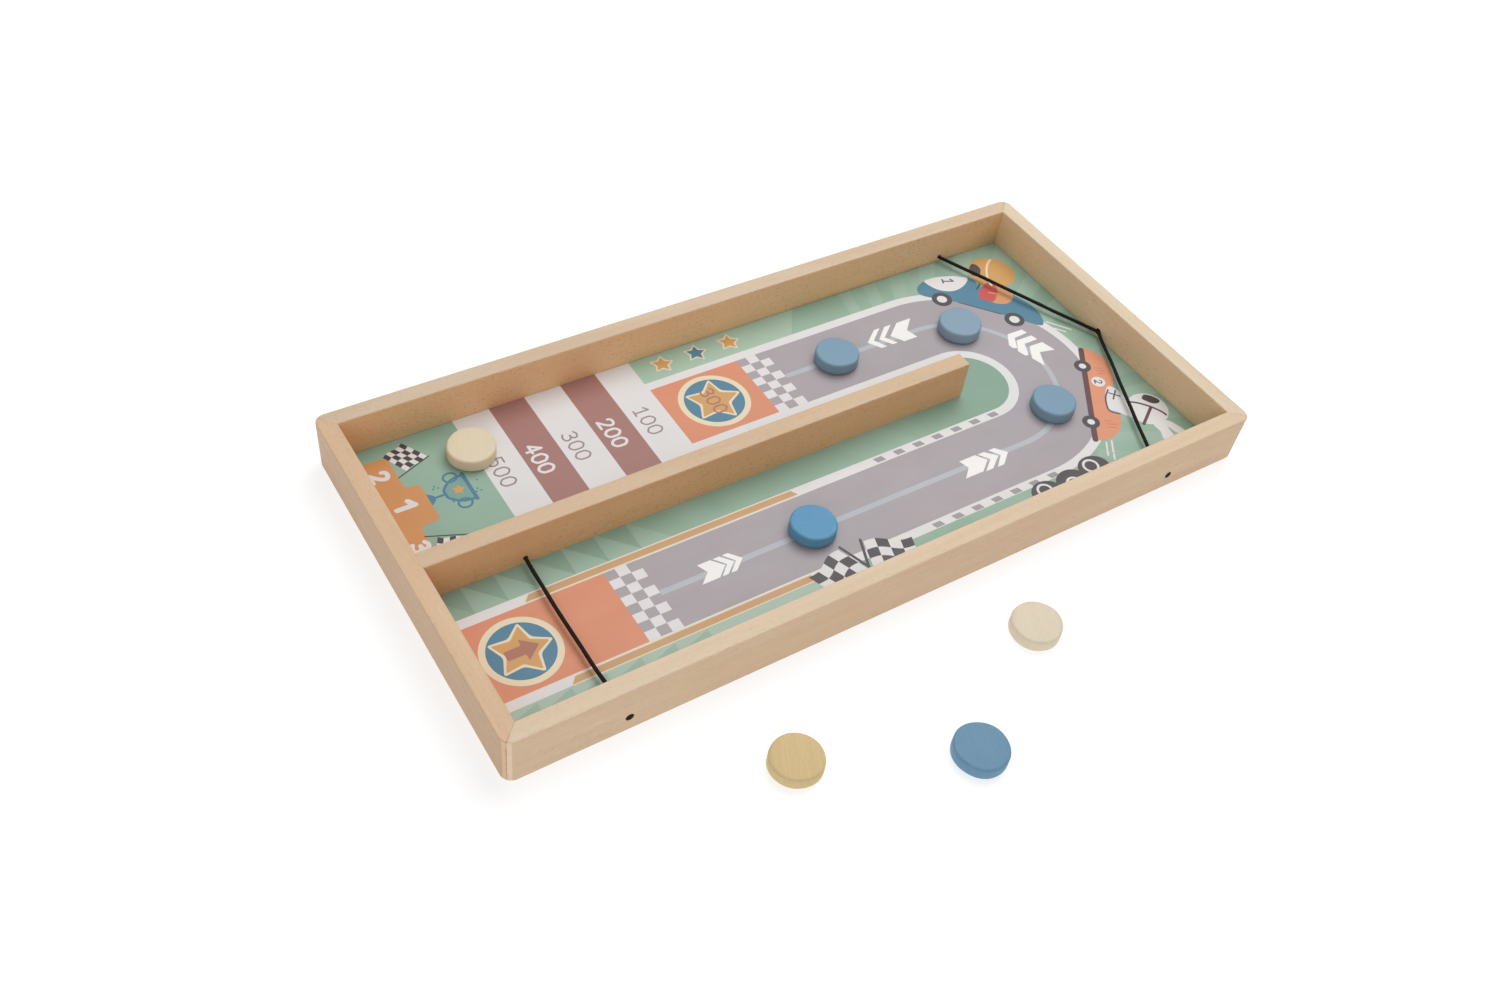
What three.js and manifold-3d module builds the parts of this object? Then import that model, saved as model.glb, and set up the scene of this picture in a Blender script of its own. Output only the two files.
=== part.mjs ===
// Tabletop shuffleboard: a shallow beech tray with a printed race-track playfield, a centre divider, a launching
// elastic, a V-shaped rebound elastic and a set of wooden pucks. Millimetres, +Z up, standing on z = 0.
import * as THREE from "three";
import { mergeVertices } from "three/addons/utils/BufferGeometryUtils.js";
import Module from "manifold-3d";

const wasm = await Module();
wasm.setup();

// Driving dimensions of the tray
const boardLength = 600;
const boardWidth = 290;
const railHeight = 40;
const railThickness = 13;
const cornerRadius = 8;
const edgeRound = 1;
const mitreGap = 0.3;

// Floor of the tray: a plywood panel with a laminated print, both held in a groove round the rails
const floorHeight = 8;
const printThickness = 0.4;
const panelBottom = 4;
const grooveDepth = 4;
const grooveClearance = 0.3;
const grooveTop = floorHeight + 0.2;

// Centre divider
const dividerThickness = 13.5;
const dividerEnd = 142;

// Elastic cord and the holes that hold it
const cordRadius = 1.25;
const cordHeight = 13;
const cordHoleRadius = 1.7;
const knotPocketRadius = 2.9;
const knotPocketDepth = 6;
const launchCordX = -219;
const farCordX = 226;
const holdHoleRadius = 2.75; // this one takes the folded middle of the cord
const holdPocketRadius = 3.7;
const holdBend = 2; // half the distance between the two bends at it
const launchEndShare = 0.2; // share of the span that stays still at each end when the cord is drawn
const farEndShare = 0.25;

// Pucks, turned by hand and so not quite alike
const puckThickness = 10;
const puckEdge = 2.5;
const puckGlide = 0.3; // air under a puck that rides on the print

// Hardware
const dowelRadius = 3;
const screwLength = 16;
const screwCoreRadius = 1.5;
const screwHeadRadius = 3.2;
const holeClearance = 0.3;

const halfLength = boardLength / 2;
const halfWidth = boardWidth / 2;
const innerX = halfLength - railThickness;
const innerY = halfWidth - railThickness;
const dividerFace = dividerThickness / 2;

// ---- solids -------------------------------------------------------------------------------------------------

// A closed three.js geometry as a solid that can be cut and joined
function toSolid(geometry) {
  const bare = geometry.clone();
  bare.deleteAttribute("normal");
  bare.deleteAttribute("uv");
  const merged = mergeVertices(bare, 1e-4);
  return new wasm.Manifold(
    new wasm.Mesh({
      numProp: 3,
      vertProperties: new Float32Array(merged.attributes.position.array),
      triVerts: new Uint32Array(merged.index.array),
    }),
  );
}

function toGeometry(solid) {
  const mesh = solid.getMesh();
  const geometry = new THREE.BufferGeometry();
  geometry.setAttribute("position", new THREE.BufferAttribute(mesh.vertProperties, 3));
  geometry.setIndex(new THREE.BufferAttribute(mesh.triVerts, 1));
  geometry.computeVertexNormals();
  return geometry;
}

function box(x0, x1, y0, y1, z0, z1) {
  const geometry = new THREE.BoxGeometry(x1 - x0, y1 - y0, z1 - z0);
  return geometry.translate((x0 + x1) / 2, (y0 + y1) / 2, (z0 + z1) / 2);
}

// A plan outline pulled up from z0 to z1
function prism(points, z0, z1) {
  const shape = new THREE.Shape(points.map(([x, y]) => new THREE.Vector2(x, y)));
  return new THREE.ExtrudeGeometry(shape, { depth: z1 - z0, bevelEnabled: false }).translate(0, 0, z0);
}

// A turned piece: its profile, as [radius, distance] pairs that start and end on the axis, runs from a point along
// a direction
function turned(profile, from, direction, segments = 16) {
  const points = profile.map(([radius, along]) => new THREE.Vector2(radius, along));
  const geometry = new THREE.LatheGeometry(points, segments);
  const turn = new THREE.Quaternion().setFromUnitVectors(
    new THREE.Vector3(0, 1, 0),
    new THREE.Vector3(...direction).normalize(),
  );
  return geometry.applyQuaternion(turn).translate(...from);
}

function rod(radius, from, to, segments = 16) {
  const start = new THREE.Vector3(...from);
  const along = new THREE.Vector3(...to).sub(start);
  const profile = [[0, 0], [radius, 0], [radius, along.length()], [0, along.length()]];
  return turned(profile, from, along.toArray(), segments);
}

function cut(solid, ...tools) {
  return tools.reduce((left, tool) => left.subtract(toSolid(tool)), solid);
}

function join(first, ...others) {
  return others.reduce((left, other) => left.add(toSolid(other)), toSolid(first));
}

// ---- materials ----------------------------------------------------------------------------------------------

function finish(color, roughness, metalness = 0) {
  return new THREE.MeshStandardMaterial({ color, roughness, metalness });
}

const beech = finish(0xd9b88f, 0.55);
const plywood = finish(0xcdb186, 0.7);
const print = finish(0x8fb59b, 0.4);
const elastic = finish(0x14120f, 0.8);
const steel = finish(0xb9bcc0, 0.35, 1);
const bluePaint = finish(0x5b93b8, 0.5);
const natural = finish(0xddcda6, 0.6);

const shuffleboard = new THREE.Group();
const board = new THREE.Group();
shuffleboard.add(board);

function addPiece(name, shape, material) {
  const geometry = shape.isBufferGeometry ? shape : toGeometry(shape);
  const mesh = new THREE.Mesh(geometry, material);
  mesh.name = name;
  board.add(mesh);
  return mesh;
}

// ---- corner nails -------------------------------------------------------------------------------------------

const corners = [
  { name: "front_left", sideX: -1, sideY: -1 },
  { name: "front_right", sideX: 1, sideY: -1 },
  { name: "back_left", sideX: -1, sideY: 1 },
  { name: "back_right", sideX: 1, sideY: 1 },
];

// An angle-shaped steel nail driven from below across a mitre, its apex towards the outer corner
function cornerNail({ sideX, sideY }, grow = 0) {
  const apex = 4.6;
  const reach = 6;
  const half = 0.4 + grow;
  const height = 10;
  const low = apex - half;
  const high = apex + half;
  const end = apex + reach + grow;
  const outline = [[low, low], [end, low], [end, high], [high, high], [high, end], [low, end]];
  const placed = outline.map(([u, v]) => [sideX * (halfLength - u), sideY * (halfWidth - v)]);
  const bottom = grow > 0 ? -1 : 0.3;
  return prism(placed, bottom, 0.3 + height + grow);
}

// ---- frame --------------------------------------------------------------------------------------------------

function frameRing() {
  const x = halfLength;
  const y = halfWidth;
  const r = cornerRadius;
  const outline = new THREE.Shape();
  outline.absarc(x - r, y - r, r, 0, Math.PI / 2);
  outline.absarc(-x + r, y - r, r, Math.PI / 2, Math.PI);
  outline.absarc(-x + r, -y + r, r, Math.PI, 1.5 * Math.PI);
  outline.absarc(x - r, -y + r, r, 1.5 * Math.PI, 2 * Math.PI);
  const opening = [[-innerX, -innerY], [-innerX, innerY], [innerX, innerY], [innerX, -innerY]];
  outline.holes.push(new THREE.Path(opening.map(([px, py]) => new THREE.Vector2(px, py))));
  const ring = new THREE.ExtrudeGeometry(outline, {
    depth: railHeight - 2 * edgeRound,
    bevelThickness: edgeRound,
    bevelSize: edgeRound,
    bevelOffset: -edgeRound,
    bevelSegments: 3,
    curveSegments: 6,
  });
  return toSolid(ring.translate(0, 0, edgeRound));
}

// The plan wedge between two mitres that one rail is sawn to
function railWedge(alongX, side) {
  const shift = (mitreGap / 2) * Math.SQRT2;
  const over = 5;
  const past = railThickness + 5;
  const half = alongX ? halfLength : halfWidth;
  const depth = alongX ? halfWidth : halfLength;
  const outline = [
    [-half - over + shift, depth + over],
    [half + over - shift, depth + over],
    [half - past - shift, depth - past],
    [-half + past + shift, depth - past],
  ];
  const placed = outline.map(([u, v]) => (alongX ? [u, side * v] : [side * v, u]));
  return toSolid(prism(placed, -1, railHeight + 1));
}

// A hole for the cord through a wall, with a wider pocket for its knot at the far side from the tray
function cordHole(x, y, outward, radius = cordHoleRadius, pocket = knotPocketRadius, wall = railThickness) {
  const at = (distance) => [x + outward[0] * distance, y + outward[1] * distance, cordHeight];
  return [
    rod(radius, at(-1), at(wall + 1)),
    rod(pocket, at(wall - knotPocketDepth), at(wall + 1), 20),
  ];
}

const dowelHeights = [18, 31];
const dowelDepth = { rail: 7, divider: 12 };

function dividerDowel(height, grow = 0) {
  const from = [-innerX - dowelDepth.rail - grow, 0, height];
  const to = [-innerX + dowelDepth.divider + grow, 0, height];
  return rod(dowelRadius + grow, from, to);
}

const groove = box(
  -innerX - grooveDepth,
  innerX + grooveDepth,
  -innerY - grooveDepth,
  innerY + grooveDepth,
  panelBottom - grooveClearance,
  grooveTop,
);
const ring = cut(frameRing(), groove, ...corners.map((corner) => cornerNail(corner, holeClearance)));

const frontHoles = [
  ...cordHole(launchCordX, -innerY, [0, -1]),
  ...cordHole(farCordX, -innerY, [0, -1]),
];
const backHoles = cordHole(farCordX, innerY, [0, 1]);
const rightHoles = cordHole(innerX, 0, [1, 0], holdHoleRadius, holdPocketRadius);
const leftHoles = dowelHeights.map((height) => dividerDowel(height, holeClearance));
addPiece("front_rail", cut(ring.intersect(railWedge(true, -1)), ...frontHoles), beech);
addPiece("back_rail", cut(ring.intersect(railWedge(true, 1)), ...backHoles), beech);
addPiece("left_rail", cut(ring.intersect(railWedge(false, -1)), ...leftHoles), beech);
addPiece("right_rail", cut(ring.intersect(railWedge(false, 1)), ...rightHoles), beech);
corners.forEach((corner) => addPiece(`corner_nail_${corner.name}`, cornerNail(corner), steel));

// ---- divider, panel and print -------------------------------------------------------------------------------

const screwPlaces = [-170, -20, 120];

// A countersunk wood screw driven up through the panel into the divider, with a cross recess in its head
function screw(x) {
  const neck = screwHeadRadius - screwCoreRadius;
  const tip = 2.5;
  const profile = [
    [0, 0],
    [screwHeadRadius, 0],
    [screwHeadRadius, 0.4],
    [screwCoreRadius, 0.4 + neck],
    [screwCoreRadius, screwLength - tip],
    [0.3, screwLength],
    [0, screwLength],
  ];
  const recess = 1.9;
  const blade = 0.45;
  const deep = 1.2;
  const z = panelBottom;
  return cut(
    toSolid(turned(profile, [x, 0, z], [0, 0, 1])),
    box(x - recess, x + recess, -blade, blade, z - 1, z + deep),
    box(x - blade, x + blade, -recess, recess, z - 1, z + deep),
  );
}

// The space that a screw needs: a countersink, then a clearance hole up to past its tip
function screwHole(x) {
  const gap = holeClearance;
  const head = screwHeadRadius + gap;
  const core = screwCoreRadius + gap;
  const profile = [
    [0, -1],
    [head, -1],
    [head, 0.4],
    [core, 0.4 + head - core],
    [core, screwLength + gap],
    [0, screwLength + gap],
  ];
  return turned(profile, [x, 0, panelBottom], [0, 0, 1]);
}

function divider() {
  const r = edgeRound;
  const section = new THREE.Shape();
  section.moveTo(-dividerFace, floorHeight);
  section.lineTo(dividerFace, floorHeight);
  section.absarc(dividerFace - r, railHeight - r, r, 0, Math.PI / 2);
  section.absarc(-dividerFace + r, railHeight - r, r, Math.PI / 2, Math.PI);
  const start = -innerX + mitreGap;
  const length = dividerEnd - start;
  // drawn as y and z, pulled along x
  const bar = new THREE.ExtrudeGeometry(section, { depth: length, bevelEnabled: false, curveSegments: 3 });
  bar.rotateY(Math.PI / 2).rotateX(Math.PI / 2).translate(start, 0, 0);
  return cut(
    toSolid(bar),
    ...cordHole(launchCordX, -dividerFace, [0, 1], cordHoleRadius, knotPocketRadius, dividerThickness),
    ...dowelHeights.map((height) => dividerDowel(height, holeClearance)),
    ...screwPlaces.map(screwHole),
  );
}

function floorSheet(z0, z1) {
  const reach = grooveDepth - grooveClearance;
  const sheet = box(-innerX - reach, innerX + reach, -innerY - reach, innerY + reach, z0, z1);
  return cut(toSolid(sheet), ...screwPlaces.map(screwHole));
}

addPiece("centre_divider", divider(), beech);
addPiece("base_panel", floorSheet(panelBottom, floorHeight - printThickness), plywood);
addPiece("printed_playfield", floorSheet(floorHeight - printThickness, floorHeight), print);
dowelHeights.forEach((height, index) => addPiece(`divider_dowel_${index + 1}`, dividerDowel(height), beech));
screwPlaces.forEach((x, index) => addPiece(`divider_screw_${index + 1}`, screw(x), steel));

// ---- elastic cord -------------------------------------------------------------------------------------------

// A fixed end of a cord, turned about its own line: the knot in its pocket, the run through the wall and the
// first stretch inside the tray that the rest of the cord hangs from
function cordEnd(from, direction, wall, reach) {
  const knotEnd = knotPocketDepth - holeClearance;
  const knotStart = 1.2;
  const knotRadius = 2.4;
  const profile = [
    [0, knotStart],
    [1.6, knotStart],
    [knotRadius, knotStart + 1],
    [knotRadius, knotEnd - 1],
    [cordRadius, knotEnd],
    [cordRadius, wall + reach],
    [0, wall + reach],
  ];
  return turned(profile, from, direction);
}

const launchFrom = -innerY;
const launchTo = -dividerFace;
const launchSpan = launchTo - launchFrom;
const launchReach = launchSpan * launchEndShare;
const cordGap = holeClearance;

addPiece(
  "launch_elastic_front_end",
  cordEnd([launchCordX, -halfWidth, cordHeight], [0, 1, 0], railThickness, launchReach),
  elastic,
);
addPiece(
  "launch_elastic_divider_end",
  cordEnd([launchCordX, dividerFace, cordHeight], [0, -1, 0], dividerThickness, launchReach),
  elastic,
);
addPiece(
  "launch_elastic_span",
  rod(
    cordRadius,
    [launchCordX, launchFrom + launchReach + cordGap, cordHeight],
    [launchCordX, launchTo - launchReach - cordGap, cordHeight],
  ),
  elastic,
);

// The rebound cord runs from a hole in each long rail to the middle of the right rail
const mouthInset = cordRadius + 0.15;
const farRuns = [
  { name: "back", side: 1 },
  { name: "front", side: -1 },
].map(({ name, side }) => {
  const mouth = new THREE.Vector3(farCordX, side * (innerY - mouthInset), cordHeight);
  const bend = new THREE.Vector3(innerX - mouthInset, side * holdBend, cordHeight);
  const at = (share) => mouth.clone().lerp(bend, share).toArray();
  return { name, side, mouth, bend, at, length: mouth.distanceTo(bend) };
});

const bead = (centre) => new THREE.SphereGeometry(cordRadius, 16, 8).translate(...centre);

farRuns.forEach(({ name, side, mouth, at, length }) => {
  const gapShare = cordGap / length;
  const through = cordEnd([farCordX, side * halfWidth, cordHeight], [0, -side, 0], railThickness, mouthInset);
  const firstStretch = rod(cordRadius, at(0), at(farEndShare));
  addPiece(`far_elastic_${name}_end`, join(through, bead(mouth), firstStretch), elastic);
  const span = rod(cordRadius, at(farEndShare + gapShare), at(1 - farEndShare - gapShare));
  addPiece(`far_elastic_${name}_span`, span, elastic);
});

// The folded middle of that cord, knotted behind the right rail, with the last stretch of both its runs
function cordMiddle() {
  const foldRadius = 2.3;
  const profile = [
    [0, 1],
    [2.2, 1],
    [3.2, 2],
    [3.2, knotPocketDepth - 1.3],
    [foldRadius, knotPocketDepth - holeClearance],
    [foldRadius, railThickness],
    [cordRadius, railThickness + 0.4],
    [0, railThickness + 0.4],
  ];
  const fold = turned(profile, [halfLength, 0, cordHeight], [-1, 0, 0]);
  const [back, front] = farRuns;
  const runs = farRuns.map(({ at }) => rod(cordRadius, at(1 - farEndShare), at(1)));
  const along = rod(cordRadius, front.bend.toArray(), back.bend.toArray());
  return join(fold, along, bead(front.bend), bead(back.bend), ...runs);
}
addPiece("far_elastic_middle", cordMiddle(), elastic);

// ---- pucks --------------------------------------------------------------------------------------------------

// A disc with well-rounded rims, standing on its own z = 0
function puck(r) {
  const e = puckEdge;
  const t = puckThickness;
  const steps = [0, Math.PI / 4, Math.PI / 2];
  const lower = steps.map((a) => [r - e + e * Math.sin(a), e - e * Math.cos(a)]);
  const upper = steps.map((a) => [r - e + e * Math.cos(a), t - e + e * Math.sin(a)]);
  return turned([[0, 0], ...lower, ...upper, [0, t]], [0, 0, 0], [0, 0, 1], 32);
}

const pucks = [
  { name: "blue_puck_lane", x: -36, y: -69, radius: 16.75, material: bluePaint },
  { name: "blue_puck_turn", x: 197, y: -49, radius: 17.25, material: bluePaint },
  { name: "blue_puck_exit", x: 187, y: 54, radius: 17.5, material: bluePaint },
  { name: "blue_puck_return", x: 77, y: 66.5, radius: 17, material: bluePaint },
  { name: "natural_puck_scored", x: -209, y: 96.5, radius: 17.5, material: natural },
  { name: "natural_puck_loose_1", x: 53, y: -203, radius: 18, material: natural, loose: true },
  { name: "natural_puck_loose_2", x: -144, y: -213.5, radius: 17.75, material: natural, loose: true },
  { name: "blue_puck_loose", x: -40, y: -261, radius: 18.25, material: bluePaint, loose: true },
];
pucks.forEach(({ name, x, y, radius, material, loose }) => {
  const mesh = addPiece(name, puck(radius), material);
  mesh.position.set(x, y, loose ? 0 : floorHeight + puckGlide);
});

// The origin is under the middle of the whole set, loose pucks included
const frontReach = Math.min(...pucks.map(({ y, radius }) => y - radius));
board.position.y = -(halfWidth + frontReach) / 2;

export default shuffleboard;
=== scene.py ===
import itertools
from functools import partial

import bmesh
import bpy
import numpy as np
from mathutils import Matrix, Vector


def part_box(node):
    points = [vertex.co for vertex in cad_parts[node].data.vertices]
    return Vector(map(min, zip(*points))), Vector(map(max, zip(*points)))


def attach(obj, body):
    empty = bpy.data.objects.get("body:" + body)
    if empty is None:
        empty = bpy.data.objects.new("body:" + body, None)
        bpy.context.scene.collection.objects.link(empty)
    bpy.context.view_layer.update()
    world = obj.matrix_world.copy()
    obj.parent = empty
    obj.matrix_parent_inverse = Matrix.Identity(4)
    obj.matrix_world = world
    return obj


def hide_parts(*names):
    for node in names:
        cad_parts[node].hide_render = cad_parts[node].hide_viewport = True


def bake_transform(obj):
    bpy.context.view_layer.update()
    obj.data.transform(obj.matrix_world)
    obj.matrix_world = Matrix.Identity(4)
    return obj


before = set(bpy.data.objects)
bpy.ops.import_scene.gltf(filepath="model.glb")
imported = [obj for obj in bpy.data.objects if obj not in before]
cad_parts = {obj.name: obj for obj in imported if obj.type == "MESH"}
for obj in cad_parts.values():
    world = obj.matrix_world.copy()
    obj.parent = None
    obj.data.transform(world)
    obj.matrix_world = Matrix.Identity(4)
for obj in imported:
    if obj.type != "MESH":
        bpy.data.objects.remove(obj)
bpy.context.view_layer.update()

# The tray as the frame gives it: artwork is laid out in millimetres from its middle, on top of the print
railFront = np.array(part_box("front_rail"))
railBack = np.array(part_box("back_rail"))
railLeft = np.array(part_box("left_rail"))
railRight = np.array(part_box("right_rail"))
dividerBox = np.array(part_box("centre_divider"))
trayMiddle = np.array([(railLeft[0, 0] + railRight[1, 0]) / 2, (railFront[0, 1] + railBack[1, 1]) / 2])
printTop = float(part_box("printed_playfield")[1][2])
mm = 0.001

printFit = {"stretch": 1.0045, "shift": (0.3, 0.25)}  # how the printed sheet sits in the tray, in millimetres


def onTray(points, height):
    # millimetres from the print's middle, and a height in metres, to points in the frame
    flat = (np.asarray(points, float) * (printFit["stretch"], 1) + printFit["shift"]) * mm + trayMiddle
    return np.column_stack([flat, np.full(len(flat), height)])


cameraLook = {
    "place": (-480.96, -547.67, 728.29),  # in millimetres from the tray's middle
    "right": (0.84095, -0.53002, 0.109),
    "up": (0.32987, 0.66183, 0.67318),
    "lens": 34.414,
}


def setUp(name, data, right, up, place):
    # an object whose axes are right, up and right x up, standing at the place
    axes = np.column_stack([right, up, np.cross(right, up), place])
    item = bpy.data.objects.new(name, data)
    item.matrix_world = Matrix([[*row] for row in axes] + [[0, 0, 0, 1]])
    bpy.context.scene.collection.objects.link(item)
    return item


def buildCamera():
    right = np.array(cameraLook["right"])
    right /= np.linalg.norm(right)
    up = np.array(cameraLook["up"])
    up -= right * (up @ right)
    up /= np.linalg.norm(up)
    place = np.array(cameraLook["place"]) * mm + np.array([*trayMiddle, 0])
    data = bpy.data.cameras.new("camera")
    data.lens = cameraLook["lens"]
    data.sensor_width = 36
    data.clip_start = 0.01
    bpy.context.scene.camera = setUp("camera", data, right, up, place)


lightLook = {
    "key": {"place": (0.75, 0.55, 1.7), "size": 1.7, "power": 22, "colour": (1.0, 0.988, 0.972)},
    "fill": {"place": (-2.5, -2.95, 2.5), "size": 4.0, "power": 36, "colour": (1.0, 0.975, 0.94)},
    "sky": (0.97, 0.975, 1.0),
    "skyPower": 0.42,
    "backdropPower": 1.0,  # how bright the studio looks past the end of the floor
}


def buildLights():
    for name in ("key", "fill"):
        look = lightLook[name]
        data = bpy.data.lights.new(name, "AREA")
        data.shape = "DISK"
        data.size = look["size"]
        data.energy = look["power"]
        data.color = look["colour"]
        place = np.array(look["place"])
        back = place / np.linalg.norm(place)  # it looks at the origin
        right = np.cross((0, 0, 1), back)
        right /= np.linalg.norm(right)
        setUp(name, data, right, np.cross(back, right), place)
    world = bpy.data.worlds.new("studio")
    world.use_nodes = True
    bench = NodeBench(world.node_tree)
    sky = world.node_tree.nodes["Background"]
    sky.inputs["Color"].default_value = (*lightLook["sky"], 1)
    sky.inputs["Strength"].default_value = lightLook["skyPower"]
    backdrop = bench.put("ShaderNodeBackground", {"Color": (1, 1, 1, 1), "Strength": lightLook["backdropPower"]})
    seen = bench.put("ShaderNodeLightPath").outputs["Is Camera Ray"]
    both = bench.put("ShaderNodeMixShader", {0: seen, 1: sky.outputs[0], 2: backdrop.outputs[0]})
    bench.feed(world.node_tree.nodes["World Output"].inputs["Surface"], both.outputs[0])
    bpy.context.scene.world = world
    bpy.context.scene.view_settings.view_transform = "Standard"


def srgb(red, green, blue):
    # display values of 0 to 255 as linear light
    value = np.array([red, green, blue]) / 255
    linear = np.where(value <= 0.04045, value / 12.92, ((value + 0.055) / 1.055) ** 2.4)
    return (*[float(part) for part in linear], 1.0)


class NodeBench:
    # lays nodes into one tree and joins their sockets

    def __init__(self, tree):
        self.tree = tree

    def put(self, kind, inputs=None, **settings):
        node = self.tree.nodes.new(kind)
        for key, value in settings.items():
            setattr(node, key, value)
        for key, value in (inputs or {}).items():
            self.feed(node.inputs[key], value)
        return node

    def feed(self, socket, value):
        if isinstance(value, bpy.types.NodeSocket):
            self.tree.links.new(value, socket)
        else:
            socket.default_value = value

    def math(self, operation, first, second=0.0, clamp=False):
        node = self.put("ShaderNodeMath", {0: first, 1: second}, operation=operation, use_clamp=clamp)
        return node.outputs[0]

    def noise(self, vector, scale, detail=2.0, roughness=0.5, distortion=0.0, stretch=None):
        # stretch: a share below 1 draws the pattern out along that axis
        if stretch:
            vector = self.put("ShaderNodeVectorMath", {0: vector, 1: stretch}, operation="MULTIPLY").outputs[0]
        inputs = {"Vector": vector, "Scale": scale, "Detail": detail, "Roughness": roughness, "Distortion": distortion}
        return self.put("ShaderNodeTexNoise", inputs).outputs["Fac"]

    def spread(self, value, low, high, toLow=0.0, toHigh=1.0):
        inputs = {"Value": value, "From Min": low, "From Max": high, "To Min": toLow, "To Max": toHigh}
        return self.put("ShaderNodeMapRange", inputs, clamp=True).outputs[0]

    def mix(self, factor, first, second):
        # the mix node's colour sockets are numbers 6 and 7, and its colour output is number 2
        return self.put("ShaderNodeMix", {0: factor, 6: first, 7: second}, data_type="RGBA").outputs[2]

    def bump(self, shader, height, distance, strength):
        node = self.put("ShaderNodeBump", {"Height": height, "Distance": distance, "Strength": strength})
        self.feed(shader.inputs["Normal"], node.outputs["Normal"])


def newGroup(name, inputs, outputs):
    # inputs and outputs: name -> (socket type, default)
    group = bpy.data.node_groups.new(name, "ShaderNodeTree")
    for label, (kind, default) in inputs.items():
        socket = group.interface.new_socket(label, in_out="INPUT", socket_type=kind)
        if default is not None:
            socket.default_value = default
    for label, kind in outputs.items():
        group.interface.new_socket(label, in_out="OUTPUT", socket_type=kind)
    bench = NodeBench(group)
    start = bench.put("NodeGroupInput")
    end = bench.put("NodeGroupOutput")
    return group, bench, start.outputs, end.inputs


colourSocket = "NodeSocketColor"
floatSocket = "NodeSocketFloat"
vectorSocket = "NodeSocketVector"


def buildWoodFigure():
    # grain along the vector's X: wide tone bands, fine streaks, short dark flecks, and end grain where asked
    group, bench, given, out = newGroup(
        "woodFigure",
        {
            "Vector": (vectorSocket, None),
            "Light": (colourSocket, (0.8, 0.6, 0.4, 1)),
            "Dark": (colourSocket, (0.6, 0.4, 0.25, 1)),
            "Fleck": (colourSocket, (0.3, 0.17, 0.09, 1)),
            "Fleck Amount": (floatSocket, 0.5),
            "Streak Amount": (floatSocket, 0.4),
            "End Mask": (floatSocket, 0.0),
        },
        {"Color": colourSocket, "Roughness": floatSocket, "Height": floatSocket},
    )
    vector = given["Vector"]
    wide = bench.noise(vector, 60, 3, 0.55, 0.6, (0.07, 1, 1))
    drift = bench.noise(vector, 7, 2, 0.5)
    streaks = bench.noise(vector, 620, 2, 0.6, 0.2, (0.015, 1, 1))
    fibres = bench.noise(vector, 1700, 1, 0.5, 0, (0.03, 1, 1))
    fleckNoise = bench.noise(vector, 1650, 1, 0.45, 0.08, (0.17, 1, 0.9))
    patches = bench.noise(vector, 55, 2, 0.5, 0, (0.3, 1, 1))
    flecks = bench.math("MULTIPLY", bench.spread(fleckNoise, 0.61, 0.68), bench.spread(patches, 0.35, 0.6, 0.3, 1.0))
    pale = bench.spread(bench.noise(vector, 480, 1, 0.5, 0, (0.2, 1, 1)), 0.62, 0.75)
    tone = bench.math("ADD", bench.spread(wide, 0.3, 0.7, 0.0, 0.6), bench.spread(drift, 0.3, 0.7, 0.0, 0.4))
    streak = bench.math("MULTIPLY", bench.spread(streaks, 0.35, 0.7), given["Streak Amount"])
    toned = bench.math("ADD", bench.math("MULTIPLY", tone, 0.75), streak, clamp=True)
    base = bench.mix(toned, given["Light"], given["Dark"])
    base = bench.mix(bench.math("MULTIPLY", pale, 0.1), base, (0.95, 0.83, 0.66, 1))
    long = bench.mix(bench.math("MULTIPLY", flecks, given["Fleck Amount"]), base, given["Fleck"])
    rings = bench.put(
        "ShaderNodeTexWave",
        {"Vector": vector, "Scale": 95, "Distortion": 5.5, "Detail": 2, "Detail Scale": 1.5},
        wave_type="RINGS",
        rings_direction="X",
    ).outputs["Fac"]
    pores = bench.spread(bench.noise(vector, 1900, 1, 0.5), 0.58, 0.68)
    ends = bench.mix(bench.spread(rings, 0.2, 0.9, 0.25, 0.8), given["Light"], given["Dark"])
    ends = bench.mix(bench.math("MULTIPLY", pores, 0.5), ends, given["Fleck"])
    bench.feed(out["Color"], bench.mix(given["End Mask"], long, ends))
    dull = bench.math("ADD", bench.spread(streaks, 0.3, 0.7, 0.42, 0.56), bench.math("MULTIPLY", flecks, 0.12))
    bench.feed(out["Roughness"], dull)
    sunk = bench.math("MULTIPLY", flecks, -0.35)
    bench.feed(out["Height"], bench.math("ADD", sunk, bench.math("MULTIPLY", fibres, 0.5)))
    return group


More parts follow.
